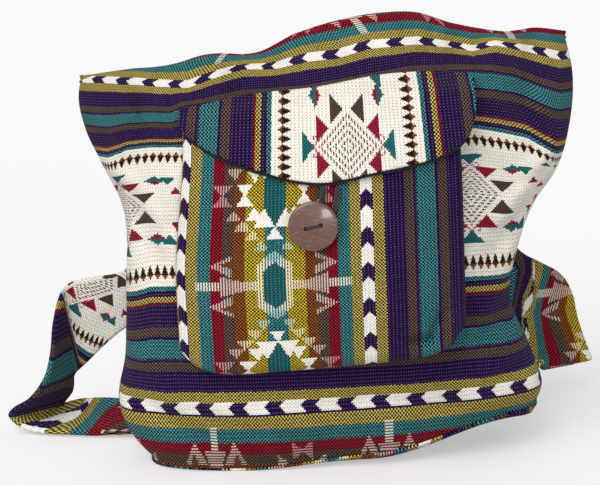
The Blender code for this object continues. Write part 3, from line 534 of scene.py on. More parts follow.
def six_sided(v, u, v_middle, u_middle, v_half, u_half, slant):
    """1 inside a shape v_half wide and u_half long, whose ends are cut back by slant for each mm across."""
    across = add(weave, "ShaderNodeMath", {0: v, 1: v_middle * MM}, operation="SUBTRACT").outputs[0]
    across = add(weave, "ShaderNodeMath", {0: across}, operation="ABSOLUTE").outputs[0]
    lengthwise = add(weave, "ShaderNodeMath", {0: u, 1: u_middle * MM}, operation="SUBTRACT").outputs[0]
    lengthwise = add(weave, "ShaderNodeMath", {0: lengthwise}, operation="ABSOLUTE").outputs[0]
    reach = add(weave, "ShaderNodeMath", {0: across, 1: slant, 2: lengthwise},
                operation="MULTIPLY_ADD").outputs[0]
    within = add(weave, "ShaderNodeMath", {0: reach, 1: u_half * MM}, operation="LESS_THAN").outputs[0]
    wide = add(weave, "ShaderNodeMath", {0: across, 1: v_half * MM}, operation="LESS_THAN").outputs[0]
    return add(weave, "ShaderNodeMath", {0: within, 1: wide}, operation="MULTIPLY").outputs[0]


def lay(colour, mask, thread):
    """Brocades a thread over the cloth where mask is 1."""
    return add(weave, "ShaderNodeMix", {0: mask, 6: colour, 7: linear(thread)}, data_type="RGBA").outputs[2]


# %% Dots of the weave
dots = []
for socket in (parts.outputs[0], parts.outputs[1]):
    turn = add(weave, "ShaderNodeMath", {0: socket, 1: math.pi / THREAD}, operation="MULTIPLY").outputs[0]
    dots.append(add(weave, "ShaderNodeMath", {0: turn}, operation="SINE").outputs[0])
checker = add(weave, "ShaderNodeMath", {0: dots[0], 1: dots[1]}, operation="MULTIPLY").outputs[0]
wander = add(weave, "ShaderNodeTexNoise",
             {"Vector": place_on_cloth.outputs[0], "Scale": 700.0, "Detail": 2.0})
loose = add(weave, "ShaderNodeMath", {0: wander.outputs[0], 1: 0.9, 2: -0.45},
            operation="MULTIPLY_ADD").outputs[0]
uneven = add(weave, "ShaderNodeMath", {0: checker, 1: loose}, operation="ADD").outputs[0]
light_share = add(weave, "ShaderNodeMapRange", {0: uneven, 1: -0.2, 2: 0.35}).outputs[0]
striped = add(weave, "ShaderNodeMix", {0: light_share, 6: dark_thread, 7: light_thread},
              data_type="RGBA").outputs[2]

# %% Arrowheads, birds and the figures of the cream
ARROW_MIDDLE, ARROW_HALF, ARROW_LONG = 152.5, 5.0, 15.7
colour = striped
off_arrow = add(weave, "ShaderNodeMath", {0: from_cream, 1: ARROW_MIDDLE * MM},
                operation="SUBTRACT").outputs[0]
off_arrow = add(weave, "ShaderNodeMath", {0: off_arrow}, operation="ABSOLUTE").outputs[0]
pushed = add(weave, "ShaderNodeMath", {0: off_arrow, 1: 1.0, 2: u_step}, operation="MULTIPLY_ADD").outputs[0]
in_period = add(weave, "ShaderNodeMath", {0: pushed, 1: ARROW_PERIOD}, operation="FLOORED_MODULO").outputs[0]
white_part = add(weave, "ShaderNodeMath", {0: in_period, 1: ARROW_LONG * MM},
                 operation="LESS_THAN").outputs[0]
in_band = add(weave, "ShaderNodeMath", {0: off_arrow, 1: ARROW_HALF * MM}, operation="LESS_THAN").outputs[0]
arrow = add(weave, "ShaderNodeMath", {0: white_part, 1: in_band}, operation="MULTIPLY").outputs[0]
colour = lay(colour, arrow, WHITE)

BIRD_PITCH, BIRD_STEP = 6.2 * MM, 0.8 * MM
u_bird = add(weave, "ShaderNodeMath", {0: parts.outputs[0], 1: BIRD_PITCH / 2},
             operation="PINGPONG").outputs[0]
u_bird = add(weave, "ShaderNodeMath", {0: u_bird, 1: BIRD_STEP}, operation="SNAP").outputs[0]
v_bird = add(weave, "ShaderNodeMath", {0: folded.outputs[0], 1: BIRD_STEP}, operation="SNAP").outputs[0]
BIRD_BROWN, BIRD_DARK = "#8a4f24", "#20110c"
BIRD_PARTS = [  # body, head and dark middle: foot and tip across the stripes, and half length along them
    (48.6, 42.0, 2.7, BIRD_BROWN), (48.4, 51.6, 1.9, BIRD_BROWN), (48.2, 43.0, 1.9, BIRD_DARK),
]
for v_foot, v_tip, half, thread in BIRD_PARTS:
    colour = lay(colour, triangle(v_bird, u_bird, v_foot, v_tip, 0, half), thread)

# Triangles of the cream: base and apex across the stripes, middle and half length along them
DEEP_TEAL, DEEP_RED, SEPIA = "#1c7476", "#a3163c", "#57443f"
CREAM_TRIANGLES = [
    (23.3, 14.5, 12.3, 9.0, DEEP_RED), (34.2, 25.5, 0, 11, DEEP_TEAL), (12.3, 3.0, 24.8, 9.6, SEPIA),
    (27.8, 19.5, 44.5, 6.5, DEEP_TEAL), (11.5, 18.5, 51, 4.5, DEEP_RED), (5, 11, 58, 4, DEEP_RED),
    (33, 38.5, 62, 5.5, DEEP_TEAL),
]
for v_foot, v_tip, middle, half, thread in CREAM_TRIANGLES:
    colour = lay(colour, triangle(from_cream, u_cream, v_foot, v_tip, middle, half), thread)
colour = lay(colour, six_sided(from_cream, u_cream, 24.2, 34, 4.3, 8.2, 1.9), DEEP_TEAL)
colour = lay(colour, triangle(from_cream, u_cream, 24.2, 20, 34, 8.2), DEEP_RED)


def waves(value, pitch, low, high):
    """0 to 1 in waves over a value, with the wave's part between low and high as the ramp."""
    turned = add(weave, "ShaderNodeMath", {0: value, 1: 2 * math.pi / pitch}, operation="MULTIPLY").outputs[0]
    wave = add(weave, "ShaderNodeMath", {0: turned}, operation="COSINE").outputs[0]
    return add(weave, "ShaderNodeMapRange", {0: wave, 1: low, 2: high}).outputs[0]


def both(a, b):
    return add(weave, "ShaderNodeMath", {0: a, 1: b}, operation="MULTIPLY").outputs[0]


# The diamond: rings of equal distance from its middle, each broken into short dashes along the stripes
HATCH, RING = 2.1 * MM, 5.2 * MM
hatch = waves(parts.outputs[1], HATCH, -0.5, 0.3)
ring_place = add(weave, "ShaderNodeMath", {0: from_cream, 1: 1.0, 2: u_cream},
                 operation="MULTIPLY_ADD").outputs[0]
dashes = both(waves(ring_place, RING, -0.1, 0.1), hatch)
colour = lay(colour, both(dashes, six_sided(from_cream, u_cream, 0, 0, 22.8, 22.5, 1.0)), "#5d4c4b")
colour = lay(colour, both(dashes, six_sided(from_cream, u_cream, 21, 0, 6, 9, 0.4)), "#b54a63")

# %% Figures of the gold
PALE, ROSE, IVORY = "#f3edd9", "#e6c9bf", "#efe6c4"
along_stripes = [  # base, apex, middle and half length of triangles that point across the stripes
    (41, 12, 0, 8.5, ROSE), (31, 48.5, 16, 9, ROSE),
]
across_stripes = [  # base and apex along the stripes, middle and half width across them
    (50.5, 58.5, 31, 6.5, ROSE), (43.2, 51.5, 24, 6.5, IVORY), (35.5, 43.5, 16.5, 6.0, IVORY),
    (27.5, 35.5, 10, 5.5, "#c4ded6"), (61.5, 71, 40, 8.0, "#e0a9ae"),
]
white_steps = [(45.5, 61, 7.5, 8.5), (50.3, 61, 15.5, 6.5), (61.5, 71, 23, 6.5), (36.5, 45.8, 0, 6)]
colour = lay(colour, both(six_sided(from_gold, u_gold, 0, 0, 59, 3.1, 0), hatch), PALE)
for v_foot, v_tip, middle, half, thread in along_stripes:
    colour = lay(colour, both(triangle(from_gold, u_gold, v_foot, v_tip, middle, half), hatch), thread)
colour = lay(colour, triangle(from_gold, u_gold, 29, 41, 17.5, 4.2), "#7a4a26")
for u_foot, u_tip, middle, half, thread in across_stripes:
    colour = lay(colour, both(triangle(u_gold, from_gold, u_foot, u_tip, middle, half), hatch), thread)
for u_foot, u_tip, middle, half in white_steps:
    colour = lay(colour, triangle(u_gold, from_gold, u_foot, u_tip, middle, half), WHITE)
colour = lay(colour, both(six_sided(from_gold, u_gold, 0, 0, 13.5, 26.5, 0.75), hatch), PALE)
colour = lay(colour, both(six_sided(from_gold, u_gold, 0, 22.5, 8, 4, 0.5), hatch), "#a5d6d2")
colour = lay(colour, triangle(u_gold, from_gold, 28.5, 36.5, 0, 5), DEEP_TEAL)
for u_middle, u_half, slant in ((0, 18.5, 0.8), (70, 24.6, 1.7)):
    colour = lay(colour, six_sided(from_gold, u_gold, 0, u_middle, 8, u_half, slant), "#176367")

# %% Specks, wear, painted shade between the threads, and the height of the threads
SPECK_ALONG, SPECK_ACROSS, SPECK_SHOWS = 2.0 * MM, 3.0 * MM, 0.6
specks = both(waves(parts.outputs[0], SPECK_ALONG, 0.1, 0.7), waves(parts.outputs[1], SPECK_ACROSS, 0.5, 0.9))
faint = add(weave, "ShaderNodeMath", {0: specks, 1: SPECK_SHOWS}, operation="MULTIPLY").outputs[0]
colour = add(weave, "ShaderNodeMix", {0: faint, 6: colour, 7: stray_thread}, data_type="RGBA").outputs[2]
wear = add(weave, "ShaderNodeTexNoise", {"Vector": place_on_cloth.outputs[0], "Scale": 45.0, "Detail": 3.0})
shade = add(weave, "ShaderNodeMapRange", {0: wear.outputs[0], 1: 0.3, 2: 0.7, 3: 0.93, 4: 1.05}).outputs[0]
brightness = add(weave, "ShaderNodeRGBToBW", {0: colour}).outputs[0]
# Painted shade in the gaps between the threads: where the dark thread shows, the colour is darkened, most on
# dark stripes
gap_shade_depth = add(weave, "ShaderNodeMapRange", {0: brightness, 1: 0.1, 2: 0.8, 3: 0.55, 4: 0.04}).outputs[0]
gap_share = add(weave, "ShaderNodeMath", {0: 1.0, 1: light_share}, operation="SUBTRACT").outputs[0]
painted_gap_shade = add(weave, "ShaderNodeMath", {0: 1.0, 1: both(gap_shade_depth, gap_share)},
             operation="SUBTRACT").outputs[0]
# The colour with its random wear and the painted shade between the threads
worn_and_gap_shaded = add(weave, "ShaderNodeHueSaturation", {"Value": both(shade, painted_gap_shade), "Color": colour}).outputs[0]
weave.links.new(worn_and_gap_shaded, cloth_shader.inputs["Base Color"])
thread_height = add(weave, "ShaderNodeBump",
                    {"Strength": 0.55, "Distance": 0.7 * MM, "Height": uneven}).outputs[0]
weave.links.new(thread_height, cloth_shader.inputs["Normal"])
print("the cloth has", len(weave.nodes), "nodes")


# %% [markdown]
# ## Front panel
#
# One wide piece of cloth makes the front, turns round the sides to the side seams, and goes over the ridge
# to the zip. Towards the ridge it is drawn together in puckers, so its map isn't stretched evenly: the
# heights at which four of its stripes run are given across the bag, and the rest lies between them.

# %% Where the stripes run on the front
LOW_ARROWS_LINE = [(-160, 56), (150, 57)]
CREAM_LOW = [(-159, 138), (-135, 148), (-117, 150), (102, 147.6), (118, 146), (138, 144)]
CREAM_MIDDLE = [(-154, 204), (-130, 209), (109, 210.5), (135, 205.5)]
CREAM_HIGH = [
    (-163, 244), (-147, 251), (-130, 252.3), (-105, 252.4), (112, 257.7), (131, 253.4), (152, 247),
    (175, 232),
]
TAUPE_LINE = [
    (-176, 279.4), (-144, 279.2), (-113, 278.7), (-104, 282.8), (-77, 286.5), (-53, 289), (-11, 291.1),
    (17, 295.2), (42, 298.4), (67, 302.2), (108, 301.1), (129, 299.4), (144, 296.2), (164, 287.4),
    (180, 281.8),
]
ARROW_LINE = [
    (-169, 302.5), (-137, 298.8), (-100, 295.7), (-79, 302.7), (-57, 308.1), (-32, 307.5), (-10, 312.8),
    (14, 314.3), (36, 320.5), (73, 321.7), (99, 317), (115, 313.3), (132, 317.7), (152, 312.8),
    (181, 304.4),
]
RIDGE_ON_CLOTH = [(-185, 157), (-150, 168), (-110, 176), (-20, 182), (45, 187), (120, 184), (185, 181)]
STRIPE_LINES = [  # place on the cloth, and heights along the bag
    (-152.5, LOW_ARROWS_LINE), (-57, CREAM_LOW), (0, CREAM_MIDDLE), (57, CREAM_HIGH), (118.5, TAUPE_LINE),
    (152.5, ARROW_LINE),
]
DIAMOND_ACROSS, ALONG_STRETCH, PUCKER = 113 * MM, 1.05, 0.1
BELOW_STRETCH = 0.8


def across_cloth(x, z):
    """v on the cloth for a place on the front, in metres, from the heights of its stripes."""
    x_mm, z_mm = x / MM, z / MM
    heights = [np.interp(x_mm, *zip(*line)) for _, line in STRIPE_LINES]
    stops = [stop for stop, _ in STRIPE_LINES] + [np.interp(x_mm, *zip(*RIDGE_ON_CLOTH))]
    heights.append(max(ridge(x) / MM, heights[-1] + 2))
    if z_mm < heights[0]:
        return (stops[0] - (heights[0] - z_mm) * BELOW_STRETCH) * MM
    return float(np.interp(z_mm, heights, stops)) * MM


def along_cloth(x, flat_y, z):
    """u on the cloth: across the bag, a little further round its sides, and drawn together near the ridge."""
    gather = ALONG_STRETCH + PUCKER * smooth((z / MM - 235) / 60)
    return gather * (x + math.copysign(max(0.0, 30 * MM - flat_y), x)) - DIAMOND_ACROSS


# %% Front and back panels
PANEL_RUMPLE = 1.1 * MM


def make_panel(name, profile, side, lines, creases, columns, rows, ridge_share):
    """A body panel with a flat strip beside each of its four seams."""
    last_column, last_row = columns + 2, rows + 2
    laid = {}

    def place(i, j):
        turn = clamp((i - 1) / columns) * 2 - 1
        share = clamp((j - 1) / rows)
        p = panel_point(profile, side, share, turn)
        laid[i, j] = share, abs(p.y)
        inner = smooth((1 - abs(turn)) * 9) * smooth(share * 9) * smooth((1 - share) * 7)
        fine = noise.noise(Vector((p.x * 38, p.z * 30, side * 3.7))) * PANEL_RUMPLE
        p.y += side * inner * (folds(lines, p.x, p.z) + folds(creases, p.x, p.z) + fine)
        if j == 0:
            p.z -= SEAM_STRIP
        if j == last_row:
            p.z = zip_height(p.x)
        if i in (0, last_column):
            p.y = side * GAP / 2
        return p

    def on_cloth(i, j, p):
        share, flat_y = laid[i, j]
        v = across_cloth(p.x, min(p.z, ridge(p.x)))
        if share > ridge_share:
            v = across_cloth(p.x, ridge(p.x)) + max(0.0, ridge(p.x) - p.z)
        return -along_cloth(p.x, flat_y, p.z), v

    return thicken(cloth_sheet(name, last_column, last_row, place, on_cloth, flip=side > 0), CLOTH)


front = make_panel("front_panel_cloth", FRONT_PROFILE, -1, FRONT_FOLDS, FRONT_CREASES, 200, 150, 9 / 11)
dress(front, cloth, "woven_cloth", "front_panel")
back = make_panel("back_panel_cloth", BACK_PROFILE, 1, BACK_FOLDS, [], 140, 100, 7 / 9)
dress(back, cloth, "woven_cloth", "back_panel")


# %% [markdown]
# ## Base panel
#
# The base is a shallow tray of the same cloth, laid with its stripes from front to back. Its right corner
# stands off the floor, because the stuffing pulls it up.

# %% Base
BASE_AROUND = 180


def base_steps():
    """From the rim inwards: share of the way out, and height under the seam or, without one, on the floor."""
    rim = SEAM_STRIP + 2 * GAP
    inwards = [(share, None) for share in (0.975, BASE_FLAT, 0.78, BASE_REST, 0.45, 0.3, 0.15, 0.0)]
    return [(1.0, rim), (1.0, rim + 1.2 * MM)] + inwards


def base_place(i, j):
    angle = 2 * math.pi * (i % BASE_AROUND) / BASE_AROUND
    side, profile = (1, BACK_PROFILE) if angle < math.pi else (-1, FRONT_PROFILE)
    p = panel_point(profile, side, 0, side * (1 - 2 * (angle % math.pi) / math.pi))
    if i % (BASE_AROUND // 2) == 0:
        p.y = 0
    share, below_seam = base_steps()[j]
    z = lift(p.x * share) + (0.4 * MM if share > BASE_FLAT else 0)
    z += roll(p.x) * smooth((share - BASE_REST) / (1.05 - BASE_REST)) * abs(p.y) / (FRONT_PROFILE[0][0] * MM)
    return Vector((p.x * share, p.y * share, z if below_seam is None else p.z - below_seam))


BASE_GOLD_ACROSS = 68 * MM
base = cloth_sheet("base_panel_cloth", BASE_AROUND, len(base_steps()) - 1, base_place,
                   lambda i, j, p: (p.y, ARROW_MIDDLE * MM + BASE_GOLD_ACROSS - p.x), flip=True, weld=True)
dress(thicken(base, CLOTH), cloth, "woven_cloth", "base_panel")


# %% [markdown]
# ## Patch pocket
#
# The pocket is a patch with its own depth, sewn to the front along three edges. Its stripes stand upright.
# At its lower right the spare cloth is laid in a rolled pleat.

# %% Pocket
POCKET_LEFT, POCKET_RIGHT, POCKET_BOTTOM, POCKET_SLANT = -110 * MM, 100 * MM, 82 * MM, 0.06
POCKET_CORNER, POCKET_BELLY, POCKET_CLEAR = 22 * MM, 10 * MM, 1.0 * MM
POCKET_PROUD_LEFT, POCKET_PROUD_RIGHT = 12 * MM, 24 * MM
MOUTH_BELOW_FLAP_SEAM = 15 * MM
FLAP_SEAM = [(-106, 280), (-60, 288), (0, 293.5), (45, 300), (90, 300), (112, 297.5)]
flap_seam = through(FLAP_SEAM)
POCKET_CREASES = [
    ((59, 98), (84, 103), 6.0, 4.5), ((58, 108), (71, 108.5), -5.5, 3.4),
    ((71, 108.5), (81, 128), -5.0, 3.4), ((91, 126), (87, 107), 4.0, 5),
    ((90, 230), (84, 130), -1.5, 6), ((-104, 200), (-100, 120), -1.2, 6),
    ((-90, 250), (-70, 236), 1.2, 8), ((20, 180), (50, 130), 1.2, 14),
    ((-80, 120), (-50, 100), 1.4, 10),
]
WALL_STEPS = [
    (0.0, 0.0), (0.3, 0.0), (0.55, 0.3 * MM), (0.75, 1.2 * MM), (0.9, 3 * MM), (0.97, 6 * MM),
    (1.0, 10 * MM),
]


def mouth_height(x):
    return flap_seam(x) - MOUTH_BELOW_FLAP_SEAM


def pocket_low(x):
    return POCKET_BOTTOM + POCKET_SLANT * (x - POCKET_LEFT)


def pocket_proud(x, z):
    """How far the pocket's face stands before the front panel."""
    across = clamp((x - POCKET_LEFT) / (POCKET_RIGHT - POCKET_LEFT))
    up = clamp((z - pocket_low(x)) / (mouth_height(x) - pocket_low(x)))
    walls = POCKET_PROUD_LEFT + (POCKET_PROUD_RIGHT - POCKET_PROUD_LEFT) * smooth(across)
    belly = POCKET_BELLY * math.sin(math.pi * across) * math.sin(math.pi * up**0.8)
    return walls * (1 - 0.35 * smooth((up - 0.75) / 0.25)) + belly


def pocket_face(x, z):
    return front_depth(x, z) + pocket_proud(x, z)


POCKET_COLUMNS, POCKET_ROWS = 132, 110
POCKET_GOLD_ACROSS, POCKET_DRAWN = -37 * MM, (0.985, 0.917)  # left and right of it
POCKET_TILT, POCKET_TURNED = 0.045, 147 * MM  # slant of its threads, and where its right wall turns back
POCKET_OVAL_HEIGHT, CLOTH_PER_HEIGHT, POCKET_RUMPLE = 155 * MM, 1.07, 0.8 * MM


def pocket_lean(x, z):
    """How far the pocket's left side leans: out at the bottom, in at the top."""
    across = clamp((x - POCKET_LEFT) / (POCKET_RIGHT - POCKET_LEFT))
    return (10 * smooth((z / MM - 150) / 110) - 4) * MM * (1 - across) ** 2


laid_x = {}


def pocket_place(i, j):
    last = len(WALL_STEPS) - 1
    near = min(i, POCKET_COLUMNS - i, last)
    rise, inset = WALL_STEPS[near]
    face_inset = WALL_STEPS[last][1]
    share = clamp((i - last) / (POCKET_COLUMNS - 2 * last))
    x = POCKET_LEFT + face_inset + share * (POCKET_RIGHT - POCKET_LEFT - 2 * face_inset)
    if near < last:
        x = POCKET_LEFT + inset if i < last else POCKET_RIGHT - inset
    edge = abs(2 * (x - POCKET_LEFT) / (POCKET_RIGHT - POCKET_LEFT) - 1)
    low = pocket_low(x) + POCKET_CORNER * edge**8
    rise_up, inset_up = WALL_STEPS[min(j, last)]
    start = low + face_inset
    z = start + (j - last) / (POCKET_ROWS - last) * (mouth_height(x) - start)
    if j < last:
        z = low + inset_up
    laid_x[i, j] = x
    x += pocket_lean(x, z)
    middle = (POCKET_LEFT + POCKET_RIGHT) / 2
    inner = x + math.copysign(2 * CLOTH, middle - x), z + 2 * CLOTH
    clear = POCKET_CLEAR + max(0.0, front_depth(*inner) - front_depth(x, z))
    rumple = noise.noise(Vector((x * 40, z * 26, 9.0))) * POCKET_RUMPLE
    shaped = pocket_proud(x, z) + folds(POCKET_CREASES, x, z) + rumple
    return Vector((x, -front_depth(x, z) - clear - (shaped - clear) * rise * rise_up, z))


def pocket_on_cloth(i, j, p):
    last = len(WALL_STEPS) - 1
    side_depth = (1 - WALL_STEPS[min(i, POCKET_COLUMNS - i, last)][0]) * pocket_proud(p.x, p.z)
    reach = laid_x[i, j] - POCKET_GOLD_ACROSS
    reach = (reach + math.copysign(side_depth, reach)) / POCKET_DRAWN[reach > 0]
    reach = POCKET_TURNED - abs(POCKET_TURNED - reach)
    low_depth = (1 - WALL_STEPS[min(j, last)][0]) * pocket_proud(p.x, p.z)
    rise = p.z - POCKET_OVAL_HEIGHT - POCKET_TILT * (p.x - POCKET_GOLD_ACROSS)
    return FIGURE_PERIOD / 2 + CLOTH_PER_HEIGHT * rise - low_depth, HALF_REPEAT - reach


pocket = cloth_sheet("pocket_cloth", POCKET_COLUMNS, POCKET_ROWS, pocket_place, pocket_on_cloth)
dress(thicken(pocket, CLOTH), cloth, "woven_cloth", "pocket_panel")


# %% [markdown]
# ## Flap and its lining
#
# The flap is sewn to the front above the pocket and falls over it. Its lower edge slants at the left and
# turns a round corner at the right. Thin black cotton behind it shows as a dark line along that edge.

# %% Flap
FLAP_LEFT, FLAP_RIGHT, FLAP_DROP, FLAP_END_DROP = -106 * MM, 112 * MM, 64 * MM, 8 * MM
FLAP_LEFT_POWER, FLAP_RIGHT_POWER = 1.5, 3.2
FLAP_SEAM_PROUD, FLAP_OVER_POCKET = 5.5 * MM, 7.5 * MM
LINING, LINING_SHOWS, LINING_STARTS, LINING_INSET = 0.8 * MM, 1.6 * MM, 7 * MM, 3 * MM
FLAP_CREAM_ACROSS, FLAP_DRAWN, FLAP_FAN, FLAP_DIAMOND_HEIGHT = 17 * MM, 0.965, 0.0007, 253 * MM


def flap_drop(x):
    """How far the flap's lower edge hangs below its sewn edge."""
    middle = (FLAP_LEFT + FLAP_RIGHT) / 2
    across = clamp(abs(x - middle) / (FLAP_RIGHT - middle))
    power = FLAP_LEFT_POWER if x < middle else FLAP_RIGHT_POWER
    return FLAP_END_DROP + (FLAP_DROP - FLAP_END_DROP) * (1 - across**power) ** (1 / power)


def flap_point(x, below):
    """A point of the flap's outer face at a distance below its seam."""
    z = flap_seam(x) - below
    over = pocket_proud(x, z) + FLAP_OVER_POCKET
    proud = FLAP_SEAM_PROUD + (over - FLAP_SEAM_PROUD) * smooth(below / (MOUTH_BELOW_FLAP_SEAM - 1 * MM))
    return Vector((x, -front_depth(x, z) - proud, z))


def behind_flap(x, below, distance):
    """A point behind the flap's outer face, square to it."""
    step = 2 * MM
    rise = flap_point(x, below - step) - flap_point(x, below + step)
    run = flap_point(x + step, below) - flap_point(x - step, below)
    return flap_point(x, below) - run.cross(rise).normalized() * distance


def make_flap(name, columns, rows, thickness, first=0.0, more=0.0, inward=0.0, end_inset=0.0):
    """The flap, or the lining behind it: first is where it begins below the seam, and more what it adds."""

    def place(i, j):
        turn = (i / columns * 2 - 1) * math.pi / 2
        x = (FLAP_LEFT + FLAP_RIGHT) / 2 + ((FLAP_RIGHT - FLAP_LEFT) / 2 - end_inset) * math.sin(turn)
        lowest = flap_drop(x) + more
        return behind_flap(x, lowest + (first - lowest) * j / rows, inward)

    def on_cloth(i, j, p):
        up = p.z - FLAP_DIAMOND_HEIGHT
        return up, (p.x - FLAP_CREAM_ACROSS) / (FLAP_DRAWN - FLAP_FAN * up / MM)

    return thicken(cloth_sheet(name, columns, rows, place, on_cloth), thickness)


flap = make_flap("flap_cloth", 110, 50, CLOTH)
dress(flap, cloth, "woven_cloth", "pocket_flap")


# %% Lining
lining_cotton, lining_tree, lining_shader = new_material("black_plain_cotton", Roughness=0.9)
lining_shader.inputs["Base Color"].default_value = linear("#1b181c")
LINING_BEHIND = CLOTH + 5 * GAP
lining = make_flap("flap_lining_cloth", 60, 24, LINING, LINING_STARTS, LINING_SHOWS, LINING_BEHIND,
                   LINING_INSET)
dress(lining, lining_cotton, "black_lining", "flap_lining")


# %% [markdown]
# ## Straps
#
# Each strap is a flat tube of the same cloth, about 50 mm wide, its stripes running across it.

# %% Strap routes
STRAP_WIDTH, STRAP_THICK, STRAP_SEAT, STRAP_END_CLEAR = 50 * MM, 5 * MM, 0.9 * MM, 2.5 * MM
STRAP_END_SHARE, STRAP_END_TURN = 0.06, 0.62
UNDER_STRAP = [(dx, dz) for dx in (-22, -11, 0, 11, 22) for dz in (-12, 0, 12)]
LEFT_SEWN = [(-30, 288, 0.0), (-36, 262, 0.05)]
RIGHT_SEWN = [(30, 288, 0.0), (36, 262, -0.05)]
LEFT_ROUTE = [
    ((-62, 72, 196), (0.85, 0, -0.5)), ((-112, 78, 152), (0.55, 0, -0.8)),
    ((-150, 78, 123), (0.3, 0, -0.9)), ((-172.5, 78, 110), (0.05, 0, -0.95)),
    ((-191, 81, 102), (0.11, 0.04, -1.15)), ((-209, 81, 93), (0.17, 0.1, -1.38)),
    ((-220, 78, 84), (0.1, 0.25, -1.45)), ((-224, 73, 72), (0.12, 0.6, -1.15)),
    ((-226, 72, 58), (0.17, 0.75, -0.75)), ((-230, 73, 44), (0.3, 0.85, -0.4)),
    ((-238, 77, 31), (0.6, 0.75, -0.08)), ((-249, 83, 22), (0.85, 0.5, 0.02)),
    ((-253, 87, 15), (0.85, 0.5, 0.05)), ((-243, 84, 10.5), (0.6, 0.78, 0.2)),
    ((-218, 79, 11), (0.15, 0.94, 0.3)), ((-192, 72, 12), (0.02, 0.93, 0.34)),
]
RIGHT_ROUTE = [
    ((70, 80, 200), (0.85, 0, 0.5)), ((114, 90, 150), (0.62, 0.04, 0.75)),
    ((150, 94, 112), (0.4, 0.1, 0.9)), ((164.5, 96, 101), (0.5, 0.16, 0.88)),
    ((178, 99, 86), (0.69, 0.2, 1.0)), ((186, 101, 70), (0.78, 0.2, 0.93)),
    ((192, 103, 51), (0.78, 0.2, 0.62)), ((199, 105, 33), (0.9, 0.18, 0.15)),
    ((200, 113, 33), (0.88, 0.22, 0.15)), ((193, 119, 41), (0.7, 0.25, 0.5)),
    ((181, 119, 43), (0.38, 0.6, 0.58)), ((163, 108, 40), (0.0, 0.85, 0.42)),
    ((146, 86, 43), (-0.35, 0.88, 0.05)),
]


def strap_steps(side, sewn, route):
    """The strap's middle line and crosswise direction, as six numbers a step, as the solids have them."""
    steps = []
    for x, z, slant in sewn:
        under = max(back_depth((x + dx) * MM, (z + dz) * MM) for dx, dz in UNDER_STRAP)
        y = under + STRAP_THICK / 2 + STRAP_SEAT
        steps.append((x * MM, y, z * MM, math.cos(slant), 0, -math.sin(slant)))
    steps += [tuple(c * MM for c in point) + across for point, across in route]
    corner, before, after = (panel_point(BACK_PROFILE, 1, STRAP_END_SHARE, side * (STRAP_END_TURN + turn))
                             for turn in (0, -0.05, 0.05))
    edge = (before - after).normalized()
    end = corner + Vector((-edge.y, edge.x, 0)) * -side * STRAP_END_CLEAR
    last_across = Vector((edge.x, edge.y, -0.3 * side)).normalized()
    for outward in (14 * MM, 0):
        steps.append((*(end + Vector((-edge.y, edge.x, 0)) * -side * outward), *last_across))
    return steps


# %% [markdown]
# Each strap is folded over on itself where it leaves the bag, so its stripes don't simply follow its length.
# For the left one a table says which stripe lies at each step of the route, how steeply the stripes slant
# and how far the cloth is shifted along them. On the right one three rows of places say where the stripes
# cross at three heights.

# %% Straps
STRAP_ROWS, STRAP_COLUMNS, STRAP_RUMPLE = 260, 28, 1.0 * MM
LEFT_ON_CLOTH = [  # step of the route: place across the stripes in mm, slant, shift along the stripes in mm
    (0, -233, 0, 60), (1, -206, 0, 60), (2, -134, 0, 60), (3, -67, 0, 60), (4, -20, 0.4, 48),
    (5, 6, 0.8, 40), (6, 21, 1.0, 26), (7, 38, 1.0, 12), (7.6, 48, 1.05, 6), (8, 87, 1.1, 2),
    (9, 96, 0.86, -6), (10, 105.6, 0.56, -12), (11, 116, 0.3, -16), (12, 131, 0.2, -18),
    (13, 137, 0, -18), (14, 140, 0, -18), (15, 144, -0.3, -18), (16, 154, -0.5, -18),
    (17, 178, -0.3, -18), (18, 192, 0, -18), (19, 200, 0, -18),
]
RIGHT_STRIPES = [60, 105, 118, 139, 158, 161, 171, 180, 188, 197, 207, 224.5, 300]  # places on the cloth
RIGHT_HEIGHTS = [  # height, and where each of them crosses
    (40, (112, 150, 157, 165, 166, 170, 178, 188, 198, 207, 217, 236, 300)),
    (80, (112, 146, 153, 161, 162, 166, 175, 179, 184, 195, 203, 220, 290)),
    (116, (124, 156, 163, 171, 172, 176, 184, 190, 195, 203, 211, 227, 300)),
]
RIGHT_HIDDEN, RIGHT_SHOWS = 2.0, 4.5  # steps of the route between which the right strap comes into view


def left_map(step, across, around, p):
    steps, stops, slants, shifts = zip(*LEFT_ON_CLOTH)
    slant = np.interp(step, steps, slants)
    return around + np.interp(step, steps, shifts) * MM, np.interp(step, steps, stops) * MM + slant * across


def right_map(step, across, around, p):
    crossings = [np.interp(p.x / MM, places, RIGHT_STRIPES) for _, places in RIGHT_HEIGHTS]
    shown = np.interp(p.z / MM, [height for height, _ in RIGHT_HEIGHTS], crossings) * MM
    hidden = 0.1 + (step - RIGHT_HIDDEN) * 0.05
    share = smooth((step - RIGHT_HIDDEN) / (RIGHT_SHOWS - RIGHT_HIDDEN))
    return p.z * 0.95 - 0.02 + around - across, hidden + share * (shown - hidden)


